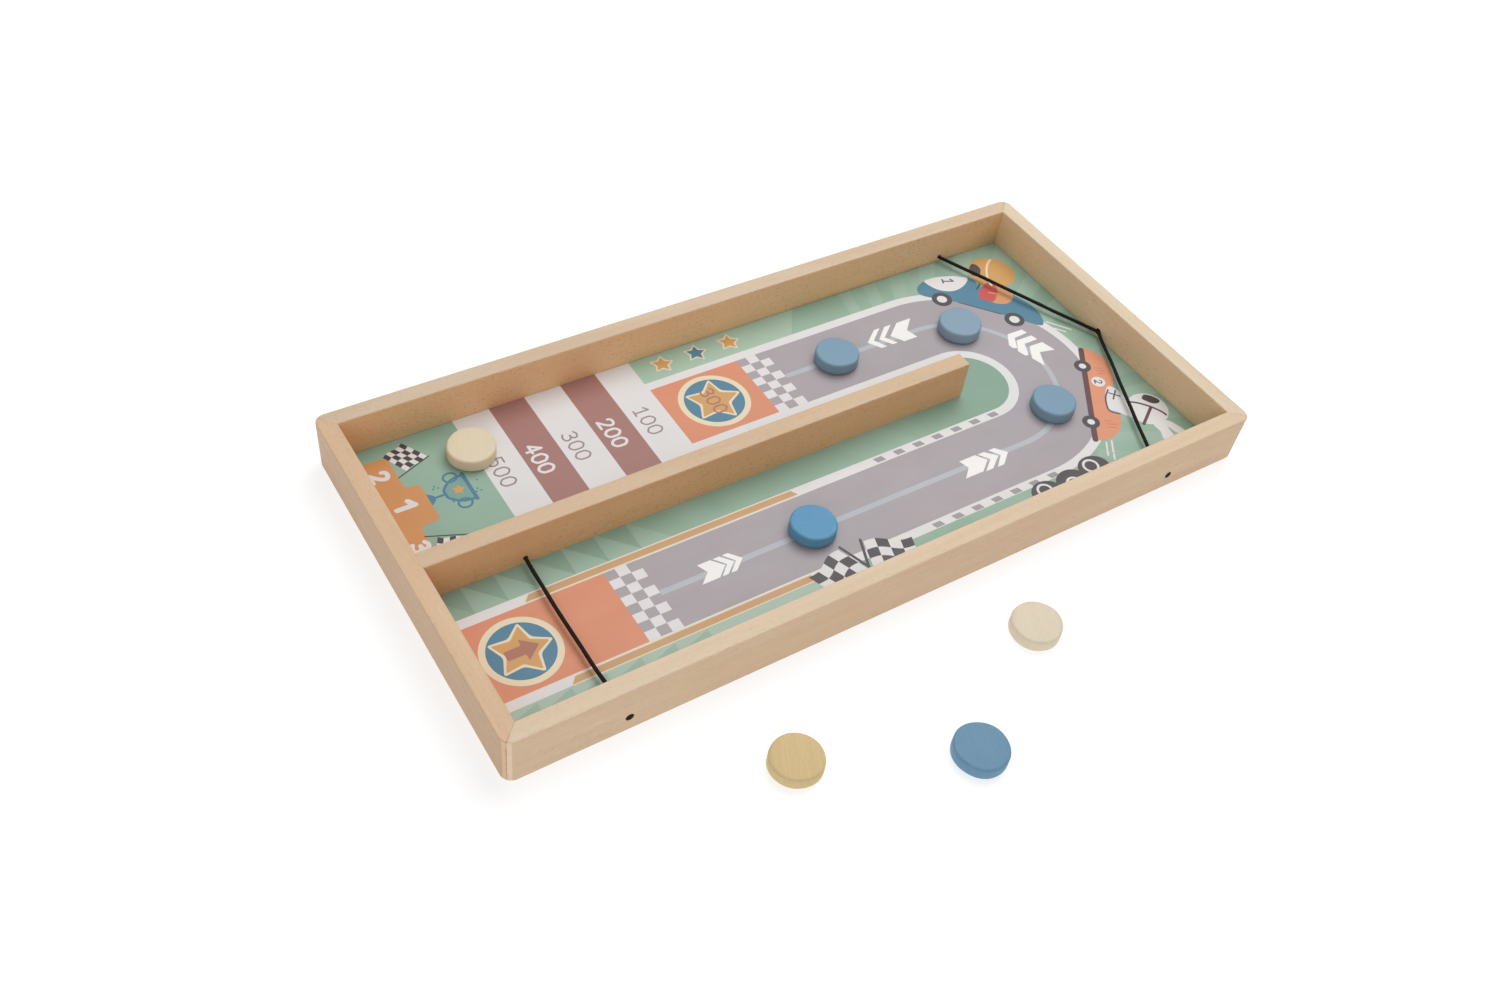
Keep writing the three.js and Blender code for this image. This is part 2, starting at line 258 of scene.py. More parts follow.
def buildPrintSurface():
    # ink on a satin film: soft mottling, a fine dot screen and faint rubbed spots
    group, bench, given, out = newGroup(
        "printSurface",
        {"Vector": (vectorSocket, None), "Ink": (colourSocket, (0.5, 0.5, 0.5, 1)), "Mottle": (floatSocket, 0.06)},
        {"Color": colourSocket, "Roughness": floatSocket, "Height": floatSocket},
    )
    vector = given["Vector"]
    clouds = bench.noise(vector, 28, 4, 0.6, 0.3)
    dots = bench.noise(vector, 1500, 1, 0.5)
    mottle = bench.math("SUBTRACT", bench.math("ADD", clouds, bench.math("MULTIPLY", dots, 0.45)), 0.725)
    strength = bench.math("MULTIPLY", mottle, given["Mottle"])
    lift = bench.math("ADD", bench.math("MULTIPLY", strength, 2.0), 1.0)
    scaled = bench.put("ShaderNodeVectorMath", {0: given["Ink"], 3: lift}, operation="SCALE").outputs[0]
    bench.feed(out["Color"], scaled)
    rubbed = bench.noise(vector, 120, 3, 0.6, 0, (0.25, 1, 1))
    bench.feed(out["Roughness"], bench.spread(rubbed, 0.3, 0.75, 0.36, 0.5))
    bench.feed(out["Height"], bench.math("ADD", bench.math("MULTIPLY", dots, 0.4), bench.noise(vector, 240, 2, 0.5)))
    return group


def buildPaintSkin():
    # thin paint on wood: uneven cover, the grain showing through, and paler rims and sides, rubbed wear and painted
    # light against their shade
    group, bench, given, out = newGroup(
        "paintSkin",
        {
            "Vector": (vectorSocket, None),
            "Paint": (colourSocket, (0.1, 0.3, 0.5, 1)),
            "Worn And Lit": (colourSocket, (0.3, 0.5, 0.65, 1)),
            "Rim Wear And Light Mask": (floatSocket, 0.0),
        },
        {"Color": colourSocket, "Roughness": floatSocket, "Height": floatSocket},
    )
    vector = given["Vector"]
    grain = bench.noise(vector, 700, 2, 0.6, 0, (0.08, 1, 1))
    cloud = bench.noise(vector, 70, 3, 0.6)
    cover = bench.math("ADD", bench.spread(grain, 0.35, 0.7, 0.0, 0.22), bench.spread(cloud, 0.35, 0.7, 0.0, 0.3))
    # the rim mask pales the paint on the rims and side: rubbed wear and painted light against their shade
    rim = bench.math("MULTIPLY", given["Rim Wear And Light Mask"], bench.spread(bench.noise(vector, 260, 3, 0.6), 0.35, 0.65))
    thin = bench.math("ADD", cover, bench.math("MULTIPLY", rim, 0.35), clamp=True)
    bench.feed(out["Color"], bench.mix(thin, given["Paint"], given["Worn And Lit"]))
    bench.feed(out["Roughness"], bench.spread(cloud, 0.3, 0.7, 0.44, 0.58))
    specks = bench.noise(vector, 1300, 1, 0.5)
    bench.feed(out["Height"], bench.math("ADD", grain, bench.math("MULTIPLY", specks, 0.5)))
    return group


woodFigure = buildWoodFigure()
printSurface = buildPrintSurface()
paintSkin = buildPaintSkin()


def newMaterial(name):
    material = bpy.data.materials.new(name)
    material.use_nodes = True
    bench = NodeBench(material.node_tree)
    shader = material.node_tree.nodes["Principled BSDF"]
    place = bench.put("ShaderNodeTexCoord").outputs["Object"]
    return material, bench, shader, place


def finishMaterial(bench, shader, figure, sheen, bumpDepth, bumpStrength=0.5):
    # a figure group's colour, roughness and height go into the shader
    bench.feed(shader.inputs["Base Color"], figure.outputs["Color"])
    bench.feed(shader.inputs["Roughness"], figure.outputs["Roughness"])
    shader.inputs["Specular IOR Level"].default_value = sheen
    bench.bump(shader, figure.outputs["Height"], bumpDepth, bumpStrength)


def normalMask(bench, axis):
    # 1 where the surface faces along the axis, either way
    normal = bench.put("ShaderNodeNewGeometry").outputs["Normal"]
    parts = bench.put("ShaderNodeSeparateXYZ", {0: normal})
    return bench.spread(bench.math("ABSOLUTE", parts.outputs[axis]), 0.75, 0.9)


beechLook = {
    "light": (233, 208, 178),
    "dark": (216, 184, 148),
    "fleck": (158, 116, 82),
    "fleckAmount": 0.2,
    "streakAmount": 0.12,
    "sheen": 0.32,
    "turn": 0,  # of the grain about Z, where it doesn't run along Y
}


def beechMaterial(name, along, shift, look, ends=True):
    # along: 0 for grain on X, 1 for grain on Y; shift moves the pattern so that no two boards match
    material, bench, shader, place = newMaterial(name)
    turn = (0, 0, np.pi / 2 if along else look["turn"])
    laid = bench.put("ShaderNodeMapping", {"Vector": place, "Location": shift, "Rotation": turn}).outputs[0]
    values = {
        "Vector": laid,
        "Light": srgb(*look["light"]),
        "Dark": srgb(*look["dark"]),
        "Fleck": srgb(*look["fleck"]),
        "Fleck Amount": look["fleckAmount"],
        "Streak Amount": look["streakAmount"],
        "End Mask": normalMask(bench, along) if ends else 0.0,
    }
    figure = bench.put("ShaderNodeGroup", values, node_tree=woodFigure)
    finishMaterial(bench, shader, figure, look["sheen"], 0.12 * mm, 0.6)
    return material


boardLook = {
    # along: 0 for grain on X, 1 for grain on Y; inner: the ways its tray walls face; tones are light and dark grain, in
    # lit and shaded copies of one beech: top is the lit copy, inside holds painted shade with warm painted bounce
    # light, outside holds painted shade
    "front_rail": {
        "name": "frontRail", "along": 0, "shift": (0.11, 0.0, 0.03), "inner": [(0, 1, 0)],
        "top": ((235, 214, 186), (218, 190, 155)),
        "insideFlecks": 0.4,
        "inside": ((246, 206, 158), (232, 186, 136)),
        "outside": ((222, 194, 160), (206, 172, 137)),
    },
    "back_rail": {
        "name": "backRail", "along": 0, "shift": (0.57, 0.31, 0.11), "inner": [(0, -1, 0)],
        "top": ((226, 205, 180), (210, 181, 149)),
        "insideFlecks": 0.46,
        "inside": ((247, 207, 161), (235, 189, 139)),
        "outside": ((222, 194, 160), (206, 172, 137)),
    },
    "left_rail": {
        "name": "leftRail", "along": 1, "shift": (0.23, 0.42, 0.07), "inner": [(1, 0, 0)],
        "top": ((231, 199, 165), (214, 176, 137)),
        "insideFlecks": 0.46,
        "inside": ((249, 208, 168), (235, 188, 146)),
        "outside": ((209, 176, 140), (194, 157, 119)),
    },
    "right_rail": {
        "name": "rightRail", "along": 1, "shift": (0.81, 0.12, 0.19), "inner": [(-1, 0, 0)],
        "top": ((233, 217, 191), (216, 192, 159)),
        "insideFlecks": 0.24,
        "inside": ((252, 222, 182), (240, 204, 160)),
        "outside": ((222, 194, 160), (206, 172, 137)),
    },
    "centre_divider": {
        "name": "centreDivider", "along": 0, "shift": (0.37, 0.77, 0.05), "inner": [(0, 1, 0), (0, -1, 0)],
        "top": ((225, 198, 167), (209, 175, 139)),
        "insideFlecks": 0.46,
        "inside": ((236, 190, 143), (222, 171, 122)),
    },
}
# darker, redder flecks for the inside walls: real grain flecks with painted shade
shadedInsideFleck = (146, 94, 58)
hiddenLook = {
    # where these differ from the beech of the boards
    # bore: near-black beech lining the cord holes, painted shade in them
    "bore": {"light": (92, 62, 40), "dark": (58, 38, 25)},
    "dowel": {"light": (214, 184, 146), "fleckAmount": 0.3},
    "panel": {"light": (214, 190, 150), "dark": (190, 160, 118), "fleckAmount": 0.25, "streakAmount": 0.4},
}
inkLook = {"mottle": 0.06, "sheen": 0.4, "bump": 0.02 * mm}


def inkMaterial(name, colour):
    material, bench, shader, place = newMaterial(name)
    values = {"Vector": place, "Ink": srgb(*colour), "Mottle": inkLook["mottle"]}
    figure = bench.put("ShaderNodeGroup", values, node_tree=printSurface)
    finishMaterial(bench, shader, figure, inkLook["sheen"], inkLook["bump"])
    return material


def paintMaterial(name, colour, wornAndLit, shift):
    # shift moves and turns the paint's pattern so that no two pucks match
    material, bench, shader, place = newMaterial(name)
    mapping = {"Vector": place, "Location": shift, "Rotation": (0, 0, shift[0])}
    laid = bench.put("ShaderNodeMapping", mapping).outputs[0]
    # the rim attribute: rubbed wear and painted light on the rims and side
    rim = bench.put("ShaderNodeAttribute", attribute_name="rim").outputs["Fac"]
    values = {"Vector": laid, "Paint": srgb(*colour), "Worn And Lit": srgb(*wornAndLit), "Rim Wear And Light Mask": rim}
    figure = bench.put("ShaderNodeGroup", values, node_tree=paintSkin)
    finishMaterial(bench, shader, figure, 0.4, 0.08 * mm)
    return material


cordLook = {
    "radius": 1.38 * mm,
    "sides": 16,
    "step": 1.5 * mm,  # between two rings of the mesh
    "wander": 0.25 * mm,  # how far a run strays from straight
    "drawnShare": 0.8,  # of half the launching elastic: from there on it follows the draw fully
    "bow": 1.5 * mm,  # the launching elastic leans this far towards the near end
    "knotInset": 2.0 * mm,  # from a board's far face to the middle of a knot
    "knot": 1.85 * mm,
    "foldKnot": 2.2 * mm,
    "tailRadius": 1.05 * mm,
    "mouth": 1.4 * mm,  # from a wall to the middle of the cord where it bends
    "foldHalf": 2.0 * mm,  # half the distance between the fold's two bends
    "strands": 6,  # of the braid, round the cord
    "pitch": 2.1 * mm,  # of one strand, along it
    "dark": (9, 8, 7),
    "pale": (31, 28, 25),
}
knotHalf = 2.4 * mm  # a cord end's box starts this far before the cord's middle


def elasticMaterial():
    # a braided sleeve: two crossing diagonal waves on the cord's own UV map, sin(strands * turn ± 2 pi * run / pitch)
    material, bench, shader, place = newMaterial("elasticSleeve")
    parts = bench.put("ShaderNodeSeparateXYZ", {0: bench.put("ShaderNodeUVMap", uv_map="run").outputs[0]})
    turns = bench.math("MULTIPLY", parts.outputs[0], cordLook["strands"] * 2 * np.pi)
    steps = bench.math("MULTIPLY", parts.outputs[1], 2 * np.pi / cordLook["pitch"])
    leftWave = bench.math("SINE", bench.math("ADD", turns, steps))
    rightWave = bench.math("SINE", bench.math("SUBTRACT", turns, steps))
    braid = bench.math("MAXIMUM", leftWave, rightWave)
    fuzz = bench.noise(place, 2600, 1, 0.6)
    tone = bench.math("ADD", bench.spread(braid, -1, 1, 0.0, 0.7), bench.math("MULTIPLY", fuzz, 0.3))
    colour = bench.mix(tone, srgb(*cordLook["dark"]), srgb(*cordLook["pale"]))
    bench.feed(shader.inputs["Base Color"], colour)
    bench.feed(shader.inputs["Roughness"], bench.spread(fuzz, 0.3, 0.7, 0.72, 0.9))
    bench.bump(shader, braid, 0.16 * mm, 0.7)
    shader.inputs["Specular IOR Level"].default_value = 0.3
    return material


steelLook = {"clean": (196, 198, 200), "spotted": (150, 150, 148)}


def steelMaterial():
    # plated steel: brushed along its length and slightly spotted
    material, bench, shader, place = newMaterial("platedSteel")
    brushed = bench.noise(place, 2500, 2, 0.6, 0, (1, 1, 0.1))
    spots = bench.spread(bench.noise(place, 450, 3, 0.6), 0.4, 0.7)
    colour = bench.mix(spots, srgb(*steelLook["clean"]), srgb(*steelLook["spotted"]))
    bench.feed(shader.inputs["Base Color"], colour)
    bench.feed(shader.inputs["Roughness"], bench.spread(brushed, 0.3, 0.7, 0.28, 0.45))
    bench.bump(shader, brushed, 0.02 * mm, 0.6)
    shader.inputs["Metallic"].default_value = 1
    return material


def addObject(name, vertices, faces, body, material, smooth=False):
    mesh = bpy.data.meshes.new(name)
    mesh.from_pydata(vertices.tolist(), [], faces)
    mesh.validate()
    mesh.polygons.foreach_set("use_smooth", np.full(len(mesh.polygons), smooth))
    mesh.materials.append(material)
    piece = bpy.data.objects.new(name, mesh)
    bpy.context.scene.collection.objects.link(piece)
    if body:
        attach(piece, body)
    return piece


def gridFaces(rows, columns, closedColumns=True, closedRows=False):
    # quads between neighbouring rows of a grid; its rows and its columns may each close on themselves
    rowRange = np.arange(rows if closedRows else rows - 1)
    columnRange = np.arange(columns if closedColumns else columns - 1)
    row, column = np.meshgrid(rowRange, columnRange, indexing="ij")
    here, following, beside = row * columns, (row + 1) % rows * columns, (column + 1) % columns
    return np.stack([here + column, here + beside, following + beside, following + column], -1).reshape(-1, 4)


def ringMesh(rings):
    # rings: (rows, columns, 3) array, each row a closed loop; the first and last loops are capped
    rows, columns = rings.shape[:2]
    faces = gridFaces(rows, columns).tolist()
    faces.append(list(range(columns))[::-1])
    faces.append(list(range((rows - 1) * columns, rows * columns)))
    return rings.reshape(-1, 3), faces


def ringsAlong(path, run, facing, radius, sides):
    # a circle carried along the path, one number or one radius per point: centre + radius * (cos a * side +
    # sin a * lift), where side = run x facing and lift = side x run, each of length one
    run = run / np.linalg.norm(run, axis=1, keepdims=True)
    side = np.cross(run, np.array(facing, float))
    side /= np.linalg.norm(side, axis=1, keepdims=True)
    lift = np.cross(side, run)
    angle = np.linspace(0, 2 * np.pi, sides, endpoint=False)
    wide = np.broadcast_to(np.asarray(radius, float), (len(path),))[:, None, None]
    spokes = np.cos(angle)[None, :, None] * side[:, None] + np.sin(angle)[None, :, None] * lift[:, None]
    return path[:, None] + wide * spokes


def addUv(piece, path, sides):
    # around as 0 to 1 and along in metres, for the swept grid's side faces
    mesh = piece.data
    steps = np.r_[0, np.cumsum(np.linalg.norm(np.diff(path, axis=0), axis=1))]
    index = np.empty(len(mesh.loops), int)
    mesh.loops.foreach_get("vertex_index", index)
    starts = np.empty(len(mesh.polygons), int)
    mesh.polygons.foreach_get("loop_start", starts)
    polygon = np.repeat(np.arange(len(starts)), np.diff(np.r_[starts, len(index)]))
    column, row = index % sides, index // sides
    lastColumn = (np.maximum.reduceat(column, starts) == sides - 1)[polygon]
    wrapped = np.where(lastColumn & (column == 0), sides, column)
    uv = np.column_stack([wrapped / sides, steps[np.minimum(row, len(steps) - 1)]])
    layer = mesh.uv_layers.new(name="run")
    layer.data.foreach_set("uv", uv.astype(np.float32).ravel())


def meshValues(items, name, width):
    # one value of every vertex or face as rows of an array
    values = np.empty(len(items) * width, np.float32)
    items.foreach_get(name, values)
    return values.reshape(-1, width).astype(float)


def moveVertices(mesh, points):
    mesh.vertices.foreach_set("co", points.ravel().astype(np.float32))
    mesh.update()


def closeMitres(along, mesh):
    # the two sloping ends of a rail move outwards by a tenth of a millimetre each, which leaves a hairline at the
    # joint: a point is on a sloping end where it lies as far in from the tray's end as from the tray's side
    points = meshValues(mesh.vertices, "co", 3)
    fromEdge = np.array([railRight[1, 0], railBack[1, 1]]) - trayMiddle - np.abs(points[:, :2] - trayMiddle)
    sloping = (np.abs(fromEdge[:, 0] - fromEdge[:, 1]) < 0.5 * mm) & (fromEdge.min(axis=1) > 0.01 * mm)
    points[sloping, along] += 0.1 * mm * np.sign(points[sloping, along] - trayMiddle[along])
    moveVertices(mesh, points)


def seatEnd(mesh):
    # the divider's end follows the rail's rounded edge, which leaves no gap at the top: each point of the end that is
    # above the rounding's start moves back by edge * (1 - sqrt(1 - rise squared))
    edge = 1 * mm
    points = meshValues(mesh.vertices, "co", 3)
    rise = np.clip((points[:, 2] - dividerBox[1, 2]) / edge + 1, 0, 1)
    atEnd = points[:, 0] < dividerBox[0, 0] + 0.5 * mm
    points[:, 0] -= np.where(atEnd, edge * (1 - np.sqrt(1 - rise**2)), 0)
    moveVertices(mesh, points)


def wallNumbers(mesh, others, bores):
    # the material of each face: by the way that it faces, which picks the board's lit or shaded copy of its beech
    # (painted shade on the walls), or the last one, the near-black bore beech that is painted shade, where it lines a
    # cord hole, which is close to the hole's axis, and side on to it or well below the surface
    normals = meshValues(mesh.polygons, "normal", 3)
    centres = meshValues(mesh.polygons, "center", 3)
    numbers = np.zeros(len(normals), np.int32)
    for number, (_, ways) in enumerate(others, 1):
        if ways:
            numbers[(normals @ np.array(ways, float).T > 0.9).any(axis=1)] = number
    for start, axis, reach in bores:
        offset = centres - start
        depth = offset @ axis
        fromAxis = np.linalg.norm(offset - np.outer(depth, axis), axis=1)
        inside = (np.abs(normals @ axis) < 0.5) | (depth > 1 * mm)
        numbers[(fromAxis < reach) & inside] = len(others)
    return numbers


def copyNode(node, name, material, others=(), reshape=None, bores=()):
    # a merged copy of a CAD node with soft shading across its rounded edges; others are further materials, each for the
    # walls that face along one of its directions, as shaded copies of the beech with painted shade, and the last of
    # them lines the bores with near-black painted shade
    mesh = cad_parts[node].data.copy()
    mesh.materials.clear()
    for finish in (material, *[other for other, _ in others]):
        mesh.materials.append(finish)
    if reshape:
        reshape(mesh)
    work = bmesh.new()
    work.from_mesh(mesh)
    bmesh.ops.remove_doubles(work, verts=work.verts, dist=2e-6)
    work.to_mesh(mesh)
    work.free()
    mesh.polygons.foreach_set("use_smooth", np.ones(len(mesh.polygons), bool))
    mesh.polygons.foreach_set("material_index", wallNumbers(mesh, others, bores))
    mesh.set_sharp_from_angle(angle=0.62)
    piece = bpy.data.objects.new(name, mesh)
    bpy.context.scene.collection.objects.link(piece)
    softNormals = piece.modifiers.new("softNormals", "WEIGHTED_NORMAL")
    softNormals.keep_sharp = True
    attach(piece, "board")
    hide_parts(node)


floorLook = {
    "reach": 30.0,
    "height": -0.2 * mm,
    "tones": ((178, 179, 180), (181, 182, 183)),
    "glow": 0.68,  # keeps the pale floor evenly bright round the tray
}


def buildFloor():
    count = 9
    steps = np.linspace(-floorLook["reach"], floorLook["reach"], count)
    x, y = np.meshgrid(steps, steps, indexing="ij")
    points = np.stack([x, y, np.full_like(x, floorLook["height"])], -1).reshape(-1, 3)
    material, bench, shader, place = newMaterial("paleFloor")
    cloud = bench.noise(place, 3, 2, 0.5)
    bench.feed(shader.inputs["Base Color"], bench.mix(cloud, *[srgb(*tone) for tone in floorLook["tones"]]))
    shader.inputs["Roughness"].default_value = 0.8
    shader.inputs["Specular IOR Level"].default_value = 0.15
    shader.inputs["Emission Color"].default_value = (1, 1, 1, 1)
    shader.inputs["Emission Strength"].default_value = floorLook["glow"]
    faces = gridFaces(count, count, False)[:, ::-1].tolist()
    floor = addObject("floor", points, faces, None, material)


def cordBores(node):
    # where the cords go through a board: a point on its outer face, the way in, and the reach of the bore
    launch, far, fold = [
        np.array(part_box(name)) for name in ("launch_elastic_span", "far_elastic_back_end", "far_elastic_middle")
    ]
    height = launch[:, 2].mean()
    launchX, farX, foldY = launch[:, 0].mean(), far[0, 0] + knotHalf, fold[:, 1].mean()
    reach = 3.3 * mm
    places = {
        "front_rail": [((launchX, railFront[0, 1], height), (0, 1, 0)), ((farX, railFront[0, 1], height), (0, 1, 0))],
        "back_rail": [((farX, railBack[1, 1], height), (0, -1, 0))],
        "right_rail": [((railRight[1, 0], foldY, height), (-1, 0, 0))],
        "centre_divider": [((launchX, dividerBox[1, 1], height), (0, -1, 0))],
    }
    return [(np.array(start), np.array(axis, float), reach) for start, axis in places.get(node, [])]


def paintedLightBoardMaterial(look, part, **extra):
    # the beech of one part of a board, a lit or shaded copy: its top, its inside walls with painted shade and warm
    # painted bounce light, or its outside wall with painted shade
    light, dark = look[part]
    tones = {**beechLook, "light": light, "dark": dark, **extra}
    return beechMaterial(look["name"] + part.capitalize(), look["along"], look["shift"], tones)


def buildWood():
    # near-black beech for the cord holes' lining: painted shade in the holes
    bore = beechMaterial("boreBeech", 0, (0.9, 0.2, 0.6), {**beechLook, **hiddenLook["bore"]})
    for node, look in boardLook.items():
        isRail = "outside" in look
        # the inside and outside walls get shaded copies of the board's beech: painted shade, with warm painted bounce
        # light inside
        inside = paintedLightBoardMaterial(look, "inside", fleck=shadedInsideFleck, fleckAmount=look["insideFlecks"])
        others = [(inside, look["inner"])]
        if isRail:
            others.append((paintedLightBoardMaterial(look, "outside"), [[-part for part in look["inner"][0]]]))
        others.append((bore, []))
        reshape = partial(closeMitres, look["along"]) if isRail else seatEnd
        copyNode(node, look["name"], paintedLightBoardMaterial(look, "top"), others, reshape, cordBores(node))
    for index in (1, 2):
        tones = {**beechLook, **hiddenLook["dowel"]}
        material = beechMaterial(f"dowelBeech{index}", 0, (0.2 * index, 0.5, 0.1), tones)
        copyNode(f"divider_dowel_{index}", f"dividerDowel{index}", material)
    veneer = beechMaterial("panelVeneer", 0, (0.4, 0.9, 0.3), {**beechLook, **hiddenLook["panel"]})
    copyNode("base_panel", "basePanel", veneer)


def buildHardware():
    steel = steelMaterial()
    for index in (1, 2, 3):
        copyNode(f"divider_screw_{index}", f"dividerScrew{index}", steel)
    for corner in ("front_left", "front_right", "back_left", "back_right"):
        copyNode(f"corner_nail_{corner}", "cornerNail_" + corner, steel)


def softened(outline, radius):
    # each corner becomes a quadratic curve between the points one radius away along its two sides
    points = np.asarray(outline, float)
    before = np.roll(points, 1, axis=0) - points
    after = np.roll(points, -1, axis=0) - points
    shareBefore = np.minimum(radius / np.linalg.norm(before, axis=1), 0.49)[:, None]
    shareAfter = np.minimum(radius / np.linalg.norm(after, axis=1), 0.49)[:, None]
    start = points + before * shareBefore
    end = points + after * shareAfter
    t = np.linspace(0, 1, 6)[None, :, None]
    curve = (1 - t) ** 2 * start[:, None] + 2 * t * (1 - t) * points[:, None] + t**2 * end[:, None]
    return curve.reshape(-1, 2)


def throughPoints(points, steps=8, closed=True):
    # a Catmull-Rom curve: between two points, the cubic whose slopes are half the step between their neighbours
    points = np.asarray(points, float)
    if not closed:
        points = np.vstack([2 * points[0] - points[1], points, 2 * points[-1] - points[-2]])
    first = np.arange(len(points) if closed else len(points) - 3)
    a, b, c, d = (points[(first + shift) % len(points)][:, None] for shift in range(4))
    t = np.linspace(0, 1, steps, endpoint=False)[None, :, None]
    curve = b + 0.5 * t * (c - a + t * (2 * a - 5 * b + 4 * c - d + t * (3 * (b - c) + d - a)))
    curve = curve.reshape(-1, points.shape[1])
    return curve if closed else np.vstack([curve, points[-2]])


def turnedAbout(points, x, y, turn):
    # (u cos turn - v sin turn, u sin turn + v cos turn), moved to x, y
    spin = np.array([[np.cos(turn), np.sin(turn)], [-np.sin(turn), np.cos(turn)]])
    return np.asarray(points, float) @ spin + (x, y)


def ellipse(x, y, radius, ratio=1.0, turn=0.0, steps=64):
    # (radius cos a, radius * ratio sin a), turned and moved to x, y
    angle = np.linspace(0, 2 * np.pi, steps, endpoint=False)
    return turnedAbout(np.column_stack([radius * np.cos(angle), radius * ratio * np.sin(angle)]), x, y, turn)


def starOutline(x, y, tip, waist):
    # ten points at every 36 degrees, by turns at the tip's and the waist's distance from x, y
    angle = np.arange(10) * np.pi / 5
    radius = np.where(np.arange(10) % 2 == 0, tip, waist)
    return np.column_stack([x + radius * np.cos(angle), y + radius * np.sin(angle)])


def rectangle(x0, x1, y0, y1):
    return np.array([[x0, y0], [x1, y0], [x1, y1], [x0, y1]], float)


def clipped(outline, x0, x1, y0, y1):
    # the part of an outline inside a rectangle, cut at one side after another: a side that crosses the limit gets the
    # point here + (there - here) * share, share = distance here / (distance here - distance there)
    points = np.asarray(outline, float)
    for axis, limit, sign in ((0, x0, 1), (0, x1, -1), (1, y0, 1), (1, y1, -1)):
        if len(points) < 3:
            return points
        following = np.roll(points, -1, axis=0)
        here = sign * (points[:, axis] - limit)
        there = sign * (following[:, axis] - limit)
        crosses = (here >= 0) != (there >= 0)
        share = np.where(crosses, here / np.where(here == there, 1, here - there), 0)[:, None]
        meeting = points + (following - points) * share
        stacked = np.stack([points, meeting], 1).reshape(-1, 2)
        keep = np.stack([here >= 0, crosses], 1).ravel()
        points = stacked[keep]
    return points


layerStep = 0.02 * mm
hairStep = 0.0022 * mm
layerCount = itertools.count(1)
inkShapes = {}


def topOf(layer):
    # every shape lies a hair above the one before it in the same layer, so that no two tops share a plane
    return printTop + layer * layerStep + next(layerCount) % 8 * hairStep


def layShape(ink, outline, layer):
    # a flat plate whose sides are the outline: its top lies layer steps above the print
    outline = np.asarray(outline, float)
    following = np.roll(outline, -1, axis=0)
    area = np.sum(outline[:, 0] * following[:, 1] - following[:, 0] * outline[:, 1])
    if area < 0:
        outline = outline[::-1]
    corners = len(outline)
    low = onTray(outline, printTop - layerStep)
    high = onTray(outline, topOf(layer))
    index = np.arange(corners)
    faces = [np.stack([index[::-1], index + corners]), gridFaces(2, corners)]
    inkShapes.setdefault(ink, []).append((np.vstack([low, high]), faces))


def layBand(ink, left, right, layer, closed=False):
    # a flat strip between two rails of points, walled all round
    left, right = np.asarray(left, float), np.asarray(right, float)
    run = left[1] - left[0]
    across = right[0] - left[0]
    if run[0] * across[1] - run[1] * across[0] > 0:
        left, right = right, left
    top, bottom = topOf(layer), printTop - layerStep
    points = [onTray(left, top), onTray(right, top), onTray(right, bottom), onTray(left, bottom)]
    ring = np.stack(points, 1).reshape(-1, 3)  # four corners at each station
    faces = [gridFaces(len(left), 4, closedRows=closed)[:, ::-1]]
    if not closed:
        corner = np.arange(4)
        faces.append(np.stack([corner, len(ring) - 1 - corner]))
    inkShapes.setdefault(ink, []).append((ring, faces))


def layStroke(ink, path, width, layer, closed=False, roundEnds=True):
    # a band of even width along a line: its sides are the line ± half the width times the run turned square, and a
    # small disc rounds each open end
    path = np.asarray(path, float)
    if closed:
        run = np.roll(path, -1, axis=0) - np.roll(path, 1, axis=0)
    else:
        run = np.gradient(path, axis=0)
    run /= np.linalg.norm(run, axis=1, keepdims=True)
    side = np.column_stack([-run[:, 1], run[:, 0]]) * width / 2
    layBand(ink, path + side, path - side, layer, closed)
    if roundEnds and not closed:
        for end in (path[0], path[-1]):
            layShape(ink, ellipse(*end, width / 2, steps=20), layer)


def layLines(ink, lines, width, layer):
    # straight strokes, each from x0, y0 to x1, y1
    for x0, y0, x1, y1 in lines:
        layStroke(ink, [(x0, y0), (x1, y1)], width, layer)


def uTrack(radius, xLeft, xRight):
    # the track's line at one distance from the turn's centre: lower straight, half circle, upper straight
    angle = np.linspace(-np.pi / 2, np.pi / 2, 64)
    turn = np.column_stack([turnCentre + radius * np.cos(angle), radius * np.sin(angle)])
    return np.vstack([[xLeft, -radius], turn, [xRight, radius]])


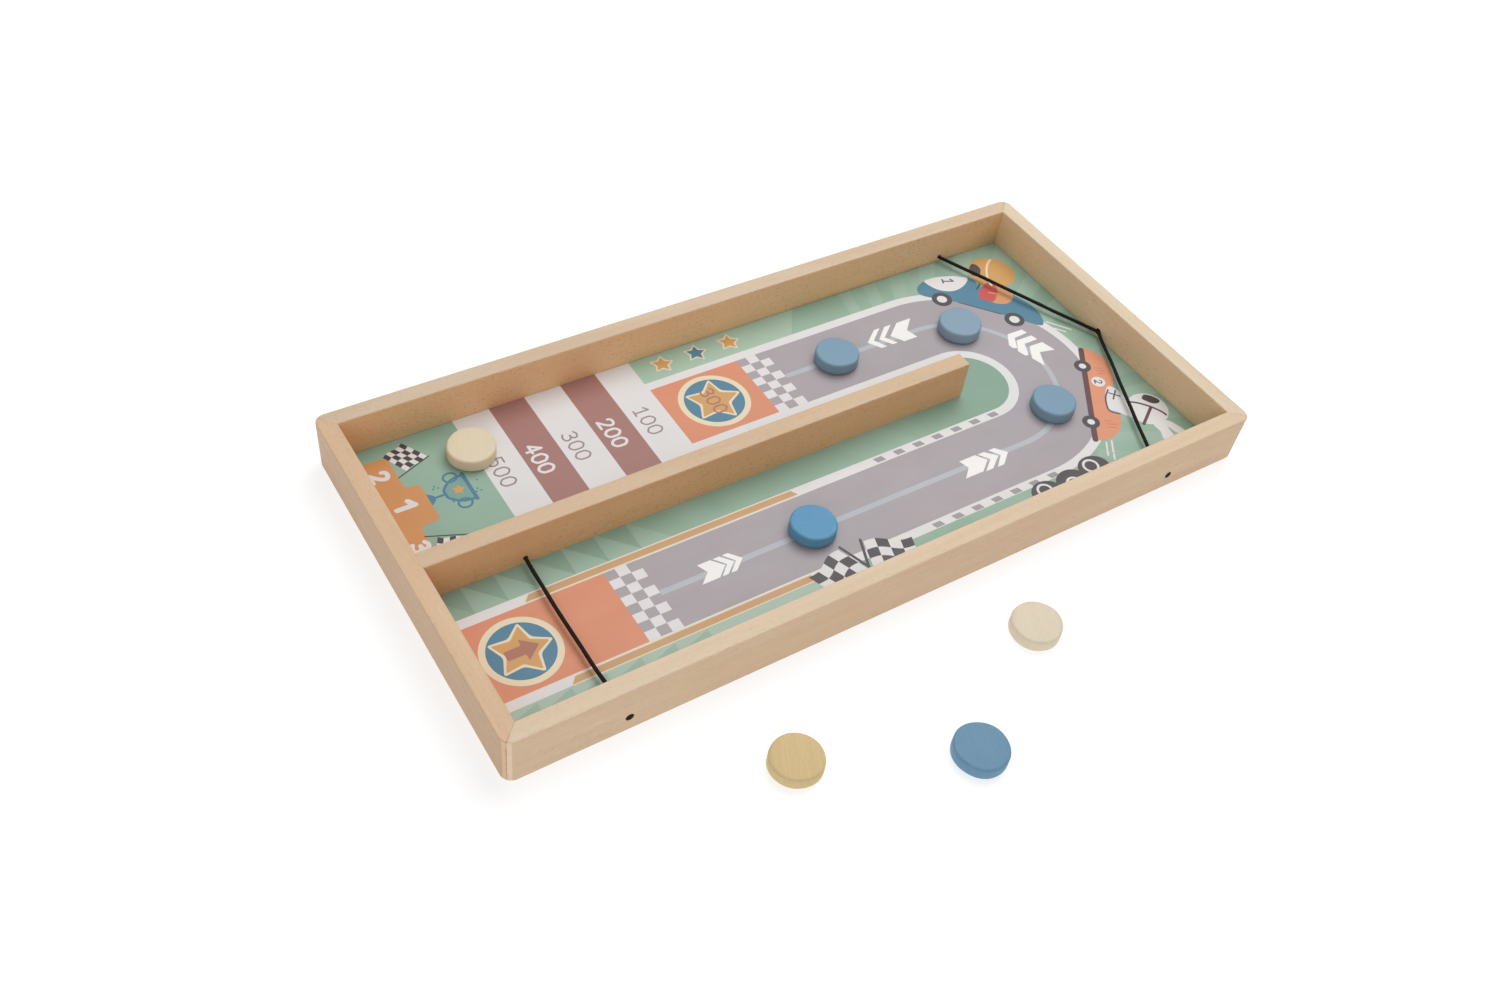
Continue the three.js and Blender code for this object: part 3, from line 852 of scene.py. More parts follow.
digitStrokes = {
    # in a box one unit tall: two points are a straight line, more are a curve, and it closes where its last point is
    # its first; "l" is a 1 without its foot
    "l": [[(0.02, 0.74), (0.4, 1.0)], [(0.4, 1.0), (0.4, 0.0)]],
    "0": [
        [
            (0.34, 0.0), (0.62, 0.2), (0.66, 0.5), (0.62, 0.8), (0.34, 1.0),
            (0.06, 0.8), (0.02, 0.5), (0.06, 0.2), (0.34, 0.0),
        ],
    ],
    "1": [[(0.08, 0.76), (0.38, 1.0)], [(0.38, 1.0), (0.38, 0.0)], [(0.14, 0.0), (0.62, 0.0)]],
    "2": [
        [(0.04, 0.76), (0.12, 0.94), (0.34, 1.0), (0.57, 0.91), (0.61, 0.7), (0.46, 0.44), (0.24, 0.2), (0.03, 0.0)],
        [(0.03, 0.0), (0.66, 0.0)],
    ],
    "3": [
        [(0.06, 0.87), (0.3, 1.0), (0.55, 0.91), (0.58, 0.7), (0.44, 0.56), (0.26, 0.54)],
        [(0.26, 0.54), (0.5, 0.5), (0.64, 0.34), (0.6, 0.1), (0.34, 0.0), (0.04, 0.12)],
    ],
    "4": [[(0.48, 0.0), (0.48, 1.0)], [(0.48, 1.0), (0.02, 0.3)], [(0.02, 0.3), (0.68, 0.3)]],
    "5": [
        [(0.58, 1.0), (0.12, 1.0)],
        [(0.12, 1.0), (0.08, 0.56)],
        [(0.08, 0.56), (0.3, 0.64), (0.56, 0.54), (0.63, 0.3), (0.54, 0.08), (0.3, 0.0), (0.04, 0.1)],
    ],
}


def layDigits(ink, digits, x, y, height, weight, layer, turn=-np.pi / 2, pitch=0.86):
    # x and y are the middle of the line of digits; turn is the reading direction; pitch is in digit heights
    digitWidth = 0.68
    total = pitch * (len(digits) - 1) + digitWidth
    for place, digit in enumerate(digits):
        shift = np.array([place * pitch - total / 2, -0.5])
        for points in digitStrokes[digit]:
            line = (np.array(points) + shift) * height
            closed = points[0] == points[-1]
            if len(points) > 2:
                line = throughPoints(line[:-1] if closed else line, 6, closed)
            layStroke(ink, turnedAbout(line, x, y, turn), weight, layer, closed)


def layCheck(corners, columns, rows, layer, wave, first="charcoal", second="white"):
    # a chequered patch between four corners, blended linearly, its rows lifted by a sine wave
    low, lowEnd, highEnd, high = np.asarray(corners, float)
    u = np.linspace(0, 1, columns * 3 + 1)[:, None, None]  # three steps to a square
    v = np.linspace(0, 1, rows * 3 + 1)[None, :, None]
    grid = low * (1 - u) * (1 - v) + lowEnd * u * (1 - v) + highEnd * u * v + high * (1 - u) * v
    across = (high - low) / np.linalg.norm(high - low)
    grid = grid + across * wave * np.sin(u * 2 * np.pi)
    for column in range(columns):
        for row in range(rows):
            part = grid[column * 3 : column * 3 + 4, row * 3 : row * 3 + 4]
            edge = np.vstack([part[:, 0], part[3, 1:], part[:3, 3][::-1], part[0, 1:3][::-1]])
            layShape(second if (column + row) % 2 else first, edge, layer)


turnCentre = 155.5
printEnd, printSide = 289, 133.5  # half the print's length and width
laneStart, laneEnd = -153.6, 32  # where the grey track leaves the starting strip and meets the finishing strip
inkColours = {
    "paleGreen": (158, 188, 171),
    # a pale field of the print, made paler still: painted light against the back rail's shadow
    "fieldGreenPaintedLight": (168, 197, 177),
    "stripGreen": (174, 197, 182),
    "faintGreen": (158, 186, 168),
    "deepGreen": (141, 171, 154),
    "trackGrey": (171, 164, 169),
    "lineGrey": (184, 189, 194),
    "dashGrey": (160, 156, 160),
    "white": (229, 228, 228),
    "brightWhite": (247, 246, 244),
    "orange": (222, 146, 111),
    "podiumOrange": (213, 152, 96),
    "gold": (212, 163, 99),
    "barGold": (204, 163, 118),
    "cream": (236, 222, 192),
    "blue": (80, 132, 158),
    "paleBlue": (128, 168, 158),
    "brown": (168, 122, 115),
    "mauve": (158, 140, 144),
    "starBrown": (176, 118, 100),
    "charcoal": (76, 71, 75),
    "darkBrown": (100, 66, 72),
    "carOrange": (226, 152, 116),
    "hatchOrange": (205, 128, 98),
    "red": (205, 82, 80),
    "skin": (214, 156, 104),
}


def layGround():
    # light rays fanned out from a point inside the turn, then the plain light fields and the sawtooth by the lane; the
    # field by the back rail is made paler still, painted light against that rail's shadow
    fanX, fanY = 98.0, -30.0
    reach = np.array([122.0, 330.0, 330.0, 122.0])
    for degrees in np.arange(-52, 84, 8.2):
        angle = np.radians(degrees + np.array([-2.0, -2.0, 2.0, 2.0]))
        wedge = np.column_stack([fanX + reach * np.cos(angle), fanY + reach * np.sin(angle)])
        layShape("paleGreen", clipped(wedge, -printEnd, printEnd, -printSide, printSide), 1)
    # the field by the back rail: print, made paler as painted light against the rail's shadow
    layShape("fieldGreenPaintedLight", [(-67, 104), (61, 104), (80, 133), (-67, 133)], 1)
    layShape("stripGreen", rectangle(-printEnd, -50, -133, -104), 1)
    for edge in (-263, -240, -217, -192.5, -168.5, -144.5):
        layShape("deepGreen", [(edge - 23, -6), (edge - 1, -6), (edge - 1, -30.5)], 1)
        layShape("faintGreen", [(edge - 13, -113), (edge + 3, -107.4), (edge + 3, -131), (edge - 13, -131)], 2)
        layShape("paleGreen", [(edge - 1, -6), (edge - 1, -31), (edge + 23, -31)], 1)


chevrons = [
    [(-121, -59.6), (-111, -59.6), (-104.2, -67.6), (-112.5, -75.2), (-126, -75.2), (-117.5, -67.6)],
    [(-109, -59.6), (-104, -59.6), (-97.2, -67.6), (-106, -75.2), (-110.8, -75.2), (-102.6, -67.6)],
    [(-102, -59.6), (-97.4, -59.6), (-90.6, -67.6), (-99.4, -75.2), (-104, -75.2), (-95.8, -67.6)],
    [(97, -62), (111.5, -62), (117, -70), (107, -77.8), (91, -77.8), (99.5, -70)],
    [(113.5, -62.4), (119.5, -62.4), (127, -70.2), (115.5, -78.6), (109, -78.6), (119.5, -70.2)],
    [(123.5, -62.6), (129, -62.6), (136, -70.4), (125.5, -79), (119.6, -79), (129, -70.4)],
    [(159.5, 82.5), (146, 82.5), (132.3, 71.8), (139, 62), (151.5, 62), (148.6, 71.8)],
    [(140.5, 82.8), (134.2, 82.8), (121.8, 72.2), (128.5, 63), (133.2, 63), (127.2, 72.2)],
    [(130, 83.2), (124.5, 83.2), (111.2, 73), (118, 63.2), (123, 63.2), (117.2, 73)],
    [(223.4, -9), (219.6, 2), (226.8, 14), (239.6, 13.6), (243, 2), (230, 5)],
    [(216.6, 7), (214.6, 13.6), (222, 24), (236.8, 23.6), (238.2, 18), (225.2, 18), (219.6, 6.2)],
    [(213.2, 18.2), (212.6, 22.4), (219.8, 33), (234.2, 32.6), (235.6, 27.8), (222.2, 27), (216.4, 16.6)],
]


def layTrack():
    layBand("white", uTrack(30.2, -printEnd, -67), uTrack(106.5, -printEnd, -67), 2)
    layBand("trackGrey", uTrack(37.8, laneStart, laneEnd), uTrack(99.2, laneStart, laneEnd), 3)
    layBand("lineGrey", uTrack(66.4, laneStart, laneEnd + 0.3), uTrack(70.7, laneStart, laneEnd + 0.3), 4)
    # starting square, finish square and their chequered strips, three squares by eight
    layShape("orange", rectangle(-printEnd, -178.5, -99.2, -37.6), 3)
    layShape("orange", rectangle(-66.5, 7.3, 38.4, 99.3), 3)
    strip, square, drop = 25.2, 8.3, 7.675
    column, row = np.meshgrid(np.arange(3), np.arange(8), indexing="ij")
    white = (column + row) % 2 == 1
    for left, top in ((-178.5, -37.6), (7.3, 99.3)):
        layShape("trackGrey", rectangle(left, left + strip, top - 8 * drop, top), 3)
        for x0, y1 in zip(left + square * column[white], top - drop * row[white]):
            layShape("white", rectangle(x0, x0 + square + 0.05, y1 - drop, y1), 4)
    # gold runners in the white side bands, and the grey dashes further on
    skew = 2.2
    for high, left, right in ((-31.3, -230.6, -28.5), (-100.9, -233.4, -58)):
        low = high - 5.0
        edge = [(left + skew, high + 0.9), (right, high + 0.9), (right, low - 0.9), (left - skew, low - 0.9)]
        layShape("cream", edge, 3)
        layShape("barGold", [(left + skew, high), (right - 0.4, high), (right + 2.6, low), (left - skew, low)], 4)
    for index in range(7):
        for x, high in ((41.3 + 17.5 * index, -32.0), (41.9 + 17.5 * index, -101.5)):
            layShape("dashGrey", [(x, high), (x + 7.4, high), (x + 9.0, high - 4.4), (x + 1.6, high - 4.4)], 4)
    for outline in chevrons:
        layShape("brightWhite", outline, 6)


def layMedallion(x, y, radius):
    # a cream disc, a blue disc 4.4 smaller, and a gold star with a cream edge
    layShape("cream", ellipse(x, y, radius, steps=96), 5)
    layShape("blue", ellipse(x, y, radius - 4.4, steps=96), 6)
    layShape("cream", softened(starOutline(x, y, radius - 4.4, 12.2), 2.6), 7)
    layShape("gold", softened(starOutline(x, y, radius - 7.2, 10.1), 1.4), 8)


def layFields():
    layShape("white", rectangle(-207, -67, 0, printSide), 2)
    for left, right in ((-179, -151.5), (-123, -95)):
        layShape("brown", rectangle(left, right, 0, printSide), 3)
    for digits, x, ink, weight in (
        ("500", -197.0, "mauve", 1.35),
        ("400", -168.6, "white", 2.1),
        ("300", -140.4, "mauve", 1.35),
        ("200", -111.7, "white", 2.1),
        ("100", -83.1, "mauve", 1.35),
    ):
        layDigits(ink, digits, x, 72.6, 10.9, weight, 4, pitch=0.93)
    layMedallion(-251.4, -69.0, 26.3)
    arrow = [(-262, -72.7), (-250, -72.7), (-250, -77.7), (-239.5, -69), (-250, -60.3), (-250, -65.3), (-262, -65.3)]
    layShape("starBrown", softened(arrow, 1.2), 9)
    layMedallion(-29.5, 69.4, 26.8)
    layDigits("starBrown", "300", -30.1, 69.7, 10.2, 1.4, 9, pitch=0.92)
    for x, ink in ((-44.6, "gold"), (-15.6, "blue"), (13.4, "gold")):
        layShape("cream", softened(starOutline(x, 120, 9.9, 5.3), 1.4), 2)
        layShape(ink, softened(starOutline(x, 120, 7.7, 3.8), 0.7), 3)


def layPodium():
    steps = [
        (-printEnd, 14), (-265, 14), (-265, 51), (-250.6, 51),
        (-250.6, 86.6), (-260.6, 86.6), (-260.6, 118.6), (-printEnd, 118.6),
    ]
    layShape("podiumOrange", softened(steps, 4), 2)
    layDigits("white", "2", -271.8, 103.5, 11.5, 3.4, 4)
    layDigits("white", "l", -266.6, 71.4, 12.6, 4.0, 4)
    layDigits("white", "3", -272.0, 35.0, 11.0, 3.2, 4)
    # a drawn cup with two handles
    bowl = [(-222, 81.5), (-231, 80), (-237.5, 74), (-238.4, 70.3), (-237.5, 66.6), (-231, 60.6), (-222, 59)]
    layShape("paleBlue", throughPoints(bowl), 2)
    bowl = [(-222, 82), (-231, 80.6), (-238, 75), (-239, 70.3), (-238, 65.6), (-231, 60), (-222, 58.6)]
    layStroke("blue", throughPoints(bowl, 8, False), 1.9, 3)
    layStroke("blue", [(-221.8, 83.0), (-221.8, 57.8)], 2.7, 3)
    layStroke("blue", [(-239, 70.3), (-249, 70.3)], 1.7, 3)
    layShape("blue", softened([(-250.6, 64.6), (-246.4, 68.4), (-246.4, 72.2), (-250.6, 76.0)], 0.8), 3)
    for y in (83.0, 57.6):
        layStroke("blue", ellipse(-230.4, y, 4.6, 0.9, steps=32), 1.6, 3, closed=True)
    layShape("gold", softened(starOutline(-229.6, 70.4, 4.6, 2.5), 0.6), 4)
    for x, y in (
        (-243, 80), (-241, 77.6), (-244.4, 78), (-237, 62), (-236, 64.6),
        (-215, 73.4), (-218, 66), (-216.4, 63.4), (-219.6, 63.6),
    ):
        layShape("blue", ellipse(x, y, 0.7, steps=12), 3)
    # small chequered flags beside the podium
    corners = [(-253.2, 101.0), (-235.6, 108.4), (-246.4, 127), (-262.6, 119.4)]
    layCheck(corners, 5, 4, 3, 0.9, "white", "charcoal")
    layStroke("charcoal", [(-260.4, 97.6), (-234.8, 107.8)], 0.9, 4)
    layCheck([(-259, 38), (-245, 31.4), (-252, 13), (-268, 20)], 4, 4, 3, 0.8)
    layStroke("charcoal", [(-266, 42), (-240, 31.4)], 0.9, 4)


def layTrackside():
    # crossed flags at the front
    layCheck([(-60.6, -102.0), (-29.6, -91.0), (-17.5, -122), (-48, -133)], 4, 4, 6, 1.8)
    layCheck([(-9.8, -92.6), (22.6, -104.4), (13, -133), (-19, -122)], 4, 4, 6, -1.8, "white", "charcoal")
    layLines("charcoal", [(-27.4, -89.8, -12, -133), (-10.8, -90.4, -27, -133)], 2.0, 7)
    # a stack of tyres
    for x, y, wide in ((136.6, -115.8, 13.0), (160.6, -115.4, 13.4), (184.4, -111.6, 13.0)):
        layShape("charcoal", ellipse(x, y, wide, 0.86), 6)
    for x, y, radius in ((136, -112.8, 5.4), (160.4, -117.2, 5.4), (183, -109.2, 5.6)):
        layStroke("white", ellipse(x, y, radius, steps=40), 1.9, 7, closed=True)
    # short speed marks behind the cars and the tyres
    marks = [
        (259.2, 31.4, 264.4, 24.6), (265.4, 23.2, 271.6, 15.4), (255.2, 28.6, 258.6, 24),
        (259.8, 22.4, 265.6, 15.2), (206, -101.8, 210.2, -96), (202.6, -106.6, 205, -103.2),
        (208.4, -106, 215, -96.6), (204, -112.4, 207.2, -107.8),
    ]
    layLines("white", marks, 1.5, 5)


def layWheel(x, y, radius, hub):
    layShape("charcoal", ellipse(x, y, radius, steps=48), 8)
    layShape("white", ellipse(x, y, hub, steps=40), 9)


def layDriver(x, y, radius, facing, shell, trim):
    # a plain helmet from the side: round shell, a band and a dark visor towards the facing angle
    layShape(shell, ellipse(x, y, radius, 0.94, facing), 7)
    angle = np.linspace(-1.24, 1.24, 24)
    band = radius * np.column_stack([0.3 * np.cos(angle) - 0.1, 0.92 * np.sin(angle)])
    layStroke(trim, turnedAbout(band, x, y, facing), 1.8, 8, roundEnds=False)
    angle = np.linspace(-0.5, 0.62, 20)[::4]
    outer = np.column_stack([0.93 * np.cos(angle), 0.88 * np.sin(angle)])
    visor = radius * np.vstack([outer, [(0.5, 0.4), (0.44, -0.12), (0.6, -0.38)]])
    layShape("charcoal", softened(turnedAbout(visor, x, y, facing), 2.2), 8)


def layBlueCar():
    # beyond the top of the turn
    body = [
        (185, 103.5), (186.6, 109.6), (192, 113.4), (199, 115.2), (211, 115.4), (223, 112), (233.4, 104.4), (237.6, 99),
        (236.2, 92.6), (240, 86), (250, 80), (256.4, 68.4), (260.4, 57), (261.4, 47), (259, 36.6), (254.2, 29.8),
        (249, 32.6), (240, 44), (230, 56), (218, 70), (206, 83), (196, 92), (188, 98.4),
    ]
    nose = [
        (198, 115), (204, 115.8), (212, 115), (222.6, 111.6), (229, 107.6), (233.8, 103),
        (227, 97.6), (218, 94.8), (210, 95.8), (203, 100.6), (199.4, 107),
    ]
    arm = [(234, 69.4), (239, 73.6), (246, 80), (252, 83), (256.6, 78), (254.6, 68.6), (248, 64), (241, 64)]
    seat = [
        (227.6, 78.6), (231, 84), (238, 88.8), (246.4, 91.4), (249.6, 86),
        (247, 79.4), (242, 74.8), (236.4, 70.4), (231.4, 72.4),
    ]
    layShape("blue", throughPoints(body, 6), 5)
    layShape("white", throughPoints(nose, 6), 6)
    layDigits("charcoal", "1", 216.6, 107.2, 9.0, 1.3, 7, turn=-np.pi / 2 - 0.42)
    layShape("skin", throughPoints(arm), 6)
    layShape("red", throughPoints(seat), 7)
    layStroke("gold", [(239, 80.6), (247, 74.2)], 1.5, 8)
    layStroke("charcoal", [(232.4, 88.4), (238.4, 92.6)], 1.3, 8)
    layDriver(257.4, 100.6, 20.0, 2.5, "gold", "cream")
    layStroke("charcoal", [(208, 81), (231, 54.6)], 0.8, 6)
    layWheel(197.6, 90.4, 8.3, 4.2)
    layWheel(236.7, 44.9, 8.2, 4.2)


def layOrangeCar():
    # beyond the bottom of the turn
    body = [
        (264, -7.6), (269.6, -12.6), (273, -21), (271.6, -30), (266.4, -40), (259.4, -49.6), (251, -52.4), (245.6, -56),
        (240, -62.6), (235.8, -69), (238.2, -75), (240.8, -77.8), (238.6, -81), (230, -90), (220, -93.6), (210, -92.8),
        (206.4, -89.4), (216, -74), (234, -49), (250, -26),
    ]
    cockpit = [
        (253.6, -49.6), (246, -54.8), (240, -62), (236.6, -69), (241.6, -76),
        (247, -84), (253, -78), (256.6, -66), (257.6, -56),
    ]
    scarf = [
        (257, -98), (263, -97), (270, -99), (273.4, -106), (274.6, -114),
        (268, -114), (265.4, -104.6), (262.6, -114), (253.6, -113), (256.6, -106),
    ]
    rim = [(250.8, -52.6), (243, -58.6), (236.6, -68.2), (236.8, -73), (241, -77)]
    layShape("carOrange", throughPoints(body, 6), 5)
    layShape("white", throughPoints(cockpit), 6)
    layStroke("darkBrown", throughPoints(rim, 6, False), 1.3, 7)
    layLines("charcoal", [(247.6, -62.4, 255.6, -55.8), (249, -55.6, 254.4, -62.2)], 1.2, 8)
    layDriver(264.8, -82.6, 17.2, 0.62, "white", "darkBrown")
    layStroke("darkBrown", [(250.6, -93.8), (268.6, -82.4)], 2.4, 8)
    layShape("white", throughPoints(scarf, 6), 6)
    layStroke("darkBrown", [(262.6, -7.2), (204.6, -90)], 4.4, 7)
    hatches = [
        (258.2, -28.6, 263.4, -31.6), (257.2, -31.8, 262.4, -34.8), (256.2, -35, 261.4, -38),
        (224.6, -77.6, 229.8, -80.6), (223.6, -80.8, 231.4, -85), (222.6, -84, 227.8, -87),
    ]
    layLines("hatchOrange", hatches, 0.9, 6)
    layShape("white", ellipse(250, -42.2, 5.5, steps=40), 7)
    layDigits("charcoal", "2", 250, -42.2, 5.6, 1.0, 8, turn=-np.pi / 2 - 0.5)
    layWheel(250.6, -22.8, 6.7, 2.9)
    layWheel(214.4, -74.0, 6.8, 2.9)


greenLook = {
    "ground": (147, 180, 161),
    "band": (156, 188, 170),
    "deep": (135, 168, 148),
    "deepReach": (36 * mm, 72 * mm),  # from the turn's centre: fully deep up to the first, gone at the second
    "slant": -0.62,
    "mottle": 0.07,
}


def printMaterial():
    # the printed sheet's own green: soft slanted light bands over a mottled ground, deeper near the turn's centre
    material, bench, shader, place = newMaterial("greenGround")
    turned = bench.put("ShaderNodeMapping", {"Vector": place, "Rotation": (0, 0, greenLook["slant"])}).outputs[0]
    bands = bench.spread(bench.noise(turned, 22, 1, 0.4, 0, (1, 0.02, 0)), 0.48, 0.54, 0.0, 0.55)
    green = bench.mix(bands, srgb(*greenLook["ground"]), srgb(*greenLook["band"]))
    turn = onTray([(turnCentre, 0)], printTop)[0]
    away = bench.put("ShaderNodeVectorMath", {0: place, 1: tuple(turn)}, operation="DISTANCE").outputs["Value"]
    deep = bench.spread(away, *greenLook["deepReach"], 1.0, 0.0)
    green = bench.mix(deep, green, srgb(*greenLook["deep"]))
    values = {"Vector": place, "Ink": green, "Mottle": greenLook["mottle"]}
    figure = bench.put("ShaderNodeGroup", values, node_tree=printSurface)
    finishMaterial(bench, shader, figure, inkLook["sheen"], inkLook["bump"])
    return material


def buildPrint():
    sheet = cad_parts["printed_playfield"]
    sheet.data.materials.clear()
    sheet.data.materials.append(printMaterial())
    layGround()
    layTrack()
    layFields()
    layPodium()
    layTrackside()
    layBlueCar()
    layOrangeCar()
    for ink, shapes in inkShapes.items():
        starts = np.cumsum([0] + [len(points) for points, faces in shapes])
        points = np.vstack([points for points, faces in shapes])
        parts = [(start + part).tolist() for start, (_, faces) in zip(starts, shapes) for part in faces]
        faces = list(itertools.chain.from_iterable(parts))
        material = inkMaterial("ink_" + ink, inkColours[ink])
        addObject("print_" + ink, points, faces, "board", material)
    print("print:", {ink: len(shapes) for ink, shapes in inkShapes.items()})


def line3(start, end, wander=0.0):
    # a straight run, with a slow sideways wander that dies away at both ends: sin(7 t + 1) * sin(pi t) squared
    start, end = np.asarray(start, float), np.asarray(end, float)
    length = np.linalg.norm(end - start)
    t = np.linspace(0, 1, max(3, int(np.ceil(length / cordLook["step"]))))[:, None]
    side = np.cross((end - start) / length, (0, 0, 1.0))
    return start + (end - start) * t + side * wander * np.sin(7 * t + 1) * np.sin(np.pi * t) ** 2


def cordMesh(name, path, radius, sides, body, material):
    points, faces = ringMesh(ringsAlong(path, np.gradient(path, axis=0), (0, 0, 1), radius, sides))
    piece = addObject(name, points, faces, body, material, smooth=True)
    addUv(piece, path, sides)
    return piece


def cordPiece(name, path, material, body=None):
    # the cord's radius * (0.985 + 0.03 * sin(23 t + number of points) * sin(pi t)), t from 0 to 1 along the run
    t = np.linspace(0, 1, len(path))
    radius = cordLook["radius"] * (0.985 + 0.03 * np.sin(23 * t + len(path)) * np.sin(np.pi * t))
    return cordMesh(name, path, radius, cordLook["sides"], body, material)


def knotPiece(name, place, outward, size, material):
    # a trefoil: (sin t + 2 sin 2t, cos t - 2 cos 2t, -sin 3t) as centre line, flattened towards the wall
    t = np.linspace(0, 2 * np.pi, 97)[:-1]
    flat = np.column_stack([np.sin(t) + 2 * np.sin(2 * t), np.cos(t) - 2 * np.cos(2 * t), -0.9 * np.sin(3 * t)]) / 3
    outward = np.asarray(outward, float)
    side = np.cross(outward, (0, 0, 1))
    path = place + size * (flat[:, :1] * side + flat[:, 1:2] * np.array([0, 0, 1.0]) + flat[:, 2:] * outward)
    run = np.roll(path, -1, axis=0) - np.roll(path, 1, axis=0)
    sides = 12
    rings = ringsAlong(path, run, outward, size * 0.62, sides)
    faces = gridFaces(len(rings), sides, closedRows=True).tolist()
    piece = addObject(name, rings.reshape(-1, 3), faces, "board", material, smooth=True)
    addUv(piece, path, sides)


def buildLaunchElastic(material, x, z):
    wallFront, wallDivider = railFront[1, 1], dividerBox[0, 1]
    middle = (wallFront + wallDivider) / 2
    halves = {
        "Front": (railFront[0, 1] + cordLook["knotInset"], wallFront, -1, "launch_elastic_front_end"),
        "Divider": (dividerBox[1, 1] - cordLook["knotInset"], wallDivider, 1, "launch_elastic_divider_end"),
    }
    for name, (start, wall, way, endNode) in halves.items():
        path = line3((x, start, z), (x, middle, z), cordLook["wander"])
        share = np.clip((path[:, 1] - wall) / (middle - wall), 0, 1)
        path[:, 0] -= cordLook["bow"] * (1 - (1 - share) ** 3)  # share: 0 at the wall, 1 at the middle
        piece = cordPiece("launchElastic" + name, path, material)
        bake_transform(piece)
        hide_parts(endNode, "launch_elastic_span")
    for name, (start, wall, way, endNode) in halves.items():
        knotPiece("launchKnot" + name, np.array([x, start, z]), (0, way, 0), cordLook["knot"], material)


def buildReboundElastic(material, z):
    foldedBox = np.array(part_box("far_elastic_middle"))
    middleY = (foldedBox[0, 1] + foldedBox[1, 1]) / 2
    bendX = railRight[0, 0] - cordLook["mouth"]
    backNodes = ("far_elastic_back_end", "far_elastic_back_span", "far_elastic_back")
    frontNodes = ("far_elastic_front_end", "far_elastic_front_span", "far_elastic_front")
    for name, way, (wallY, outerY), (endNode, spanNode, body) in (
        ("reboundBack", 1, railBack[:, 1], backNodes),
        ("reboundFront", -1, railFront[::-1, 1], frontNodes),
    ):
        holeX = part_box(endNode)[0][0] + knotHalf
        knot = np.array([holeX, outerY - way * cordLook["knotInset"], z])
        mouth = np.array([holeX, wallY - way * cordLook["mouth"], z])
        bend = np.array([bendX, middleY + way * cordLook["foldHalf"], z])
        centre = (mouth + bend) / 2
        inner = line3(knot, (holeX, mouth[1] + way * 2.2 * mm, z))
        rounding = throughPoints(np.array([inner[-1], mouth, mouth + (bend - mouth) * 0.02]), 5, False)[1:-1]
        outer = line3(mouth + (bend - mouth) * 0.025, centre, cordLook["wander"])
        first = cordPiece(name + "Outer", np.vstack([inner, rounding, outer]), material)
        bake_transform(first)
        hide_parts(endNode, spanNode)
        second = cordPiece(name + "Inner", line3(bend, centre, cordLook["wander"]), material)
        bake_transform(second)
        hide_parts(spanNode, "far_elastic_middle")
        knotPiece(name + "Knot", knot, (0, way, 0), cordLook["knot"], material)
    # the fold: out of one run, round two close bends at the right rail, into the other
    runIn = np.array([bendX, middleY + cordLook["foldHalf"], z])
    runOut = np.array([bendX, middleY - cordLook["foldHalf"], z])
    slope = np.array([-0.42, 0.907, 0]) * 3 * mm
    path = throughPoints(np.array([runIn + slope, runIn, runOut, runOut + slope * (1, -1, 1)]), 8, False)
    cordPiece("reboundFold", path, material, "board")
    # its two tails go side by side through the rail to one knot
    for index, y in enumerate((middleY + 1.2 * mm, middleY - 1.2 * mm)):
        tail = line3((bendX, y, z), (railRight[1, 0] - 3.2 * mm, y, z))
        cordMesh(f"reboundTail{index + 1}", tail, cordLook["tailRadius"], 12, "board", material)
    place = np.array([railRight[1, 0] - 3.6 * mm, middleY, z])
    knotPiece("reboundFoldKnot", place, (1, 0, 0), cordLook["foldKnot"], material)


def buildElastics():
    material = elasticMaterial()
    spanMiddle = np.array(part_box("launch_elastic_span")).mean(axis=0)
    buildLaunchElastic(material, spanMiddle[0], spanMiddle[2])
    buildReboundElastic(material, spanMiddle[2])


puckLook = {
    # the paler colours serve the uneven cover and the rubbed rims, and are painted light on the shaded sides
    "blue_puck_lane": {"paint": (80, 148, 192), "wornAndLit": (112, 168, 202), "body": "puck_lane"},
    "blue_puck_turn": {"paint": (118, 153, 178), "wornAndLit": (134, 164, 184), "body": "puck_turn"},
    "blue_puck_exit": {"paint": (132, 160, 181), "wornAndLit": (146, 170, 187), "body": "puck_exit"},
    "blue_puck_return": {"paint": (121, 156, 180), "wornAndLit": (136, 166, 186), "body": "puck_return"},
    "blue_puck_loose": {"paint": (98, 144, 174), "wornAndLit": (118, 157, 183), "body": "puck_loose_3"},
    "natural_puck_scored": {"light": (232, 219, 190), "dark": (224, 208, 176), "body": "puck_scored"},
    "natural_puck_loose_1": {"light": (230, 217, 193), "dark": (221, 206, 178), "body": "puck_loose_1"},
    "natural_puck_loose_2": {"light": (226, 202, 150), "dark": (208, 180, 124), "body": "puck_loose_2"},
}
puckShape = {
    "rim": 1.9 * mm,
    "dome": 0.15 * mm,  # from the face's middle down to its edge, above and below
    "waves": ((2, 0.012, 1), (3, 0.008, 2.1), (5, 0.005, -1)),  # how many, share of the radius, share of the phase
}
naturalLook = {"fleck": (176, 146, 100), "fleckAmount": 0.15, "streakAmount": 0.2, "sheen": 0.35, "turn": -1.1}


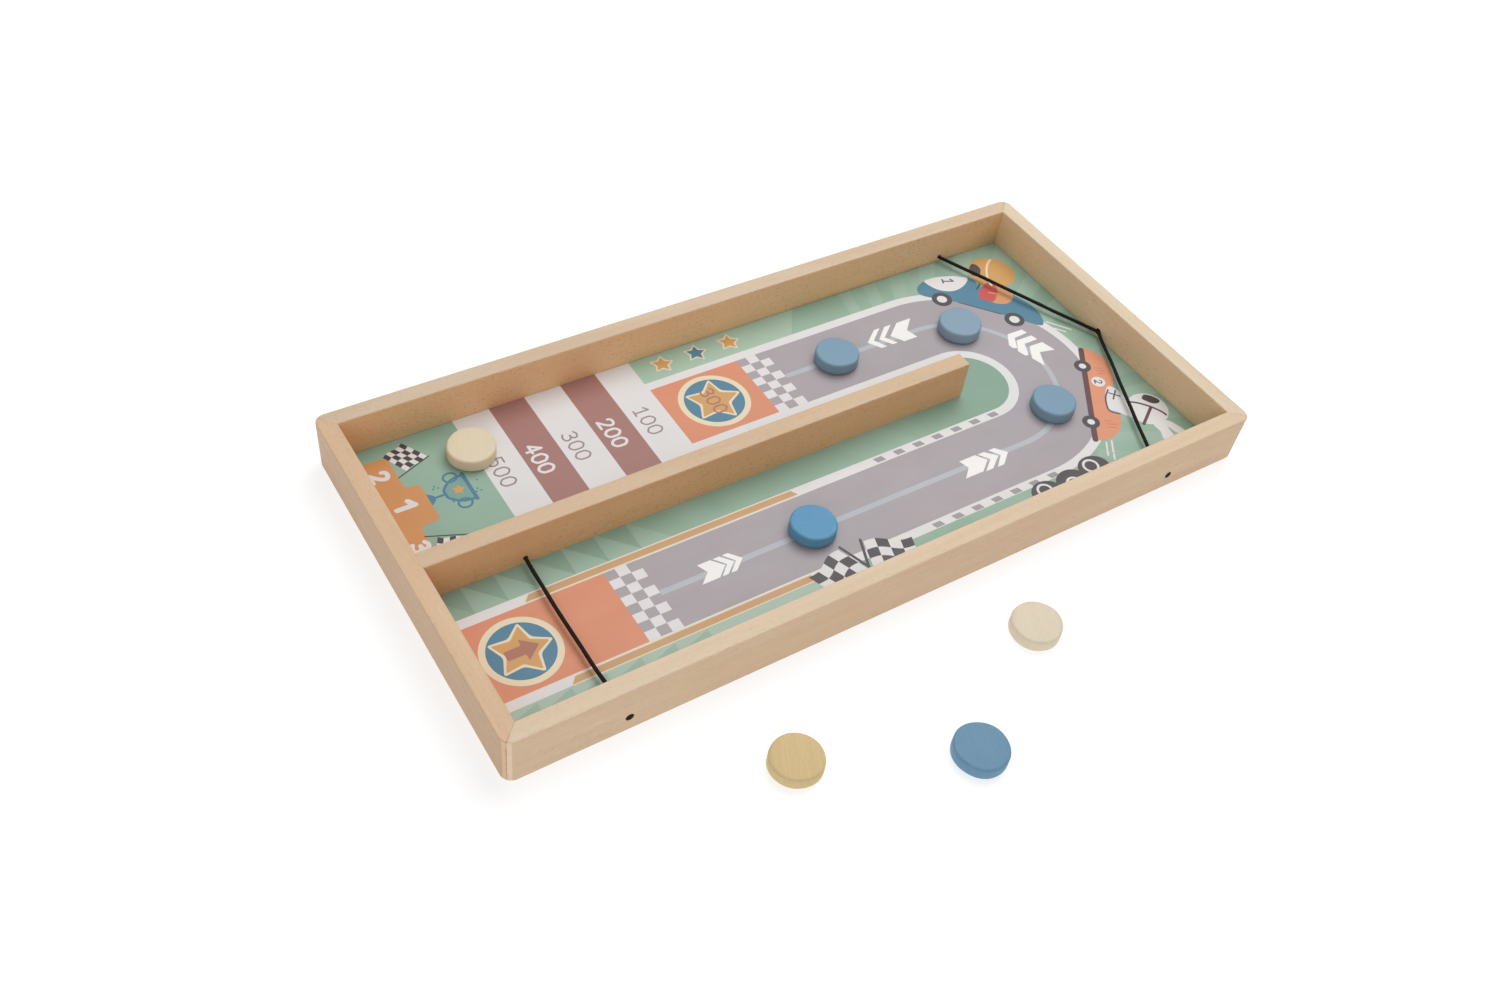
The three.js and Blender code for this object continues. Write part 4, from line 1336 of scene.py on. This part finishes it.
def buildPuck(node, look, number):
    # rings of radius outline(angle) * reach(row) at height(row): a quarter-round lower rim, the side, a quarter-round
    # upper rim and a slightly domed top; the outline is a circle with low waves, never outside the CAD disc
    low, high = np.array(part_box(node))
    centre = (low + high) / 2
    radius = (high - low)[0] / 2
    tall = (high - low)[2]
    angle = np.linspace(0, 2 * np.pi, 96, endpoint=False)
    phase = number * 1.7
    outline = 0.988 + sum(size * np.cos(many * angle + share * phase) for many, size, share in puckShape["waves"])
    outline = outline / outline.max()
    rim, dome = puckShape["rim"], puckShape["dome"]
    quarter = np.linspace(0, np.pi / 2, 8)
    reach = np.concatenate([
        [0.02, 0.4, 0.75],
        1 - rim / radius * (1 - np.sin(quarter)),
        1 - rim / radius * (1 - np.cos(quarter[1:])),
        [0.75, 0.4, 0.02],
    ])
    height = np.concatenate([
        [dome, dome, 0],
        rim * (1 - np.cos(quarter)),
        tall - dome - rim * (1 - np.sin(quarter[1:])),
        tall - dome * np.array([0.35, 0.1, 0.0]),
    ])
    rings = np.stack([
        centre[0] + radius * reach[:, None] * outline * np.cos(angle),
        centre[1] + radius * reach[:, None] * outline * np.sin(angle),
        np.broadcast_to((low[2] + height)[:, None], (len(height), len(angle))),
    ], -1)
    points, faces = ringMesh(rings)
    shift = (0.37 * number, 0.21 * number, 0.11 * number)
    if "paint" in look:
        material = paintMaterial(node + "Paint", look["paint"], look["wornAndLit"], shift)
    else:
        grain = {**beechLook, **naturalLook, "light": look["light"], "dark": look["dark"]}
        material = beechMaterial(node + "Wood", 0, shift, grain, ends=False)
    piece = addObject(node.replace("_puck", "Puck"), points, faces, look["body"], material, smooth=True)
    # paler paint on the rounded rims and the side: rubbed wear and painted light against the side's shade
    rimWearAndLightMask = np.repeat(np.interp(reach, [0.8, 0.94, 1.0], [0, 1, 0.5]), len(angle))
    attribute = piece.data.attributes.new("rim", "FLOAT", "POINT")
    attribute.data.foreach_set("value", rimWearAndLightMask.astype(np.float32))
    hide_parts(node)


buildCamera()
buildLights()
buildFloor()
print("camera, lights and floor are set")
buildWood()
buildHardware()
print("tray, panel and fixings are in place")
buildPrint()
buildElastics()
print("elastic cords are strung")
for number, (node, look) in enumerate(puckLook.items(), 1):
    buildPuck(node, look, number)
print("pucks are laid out")
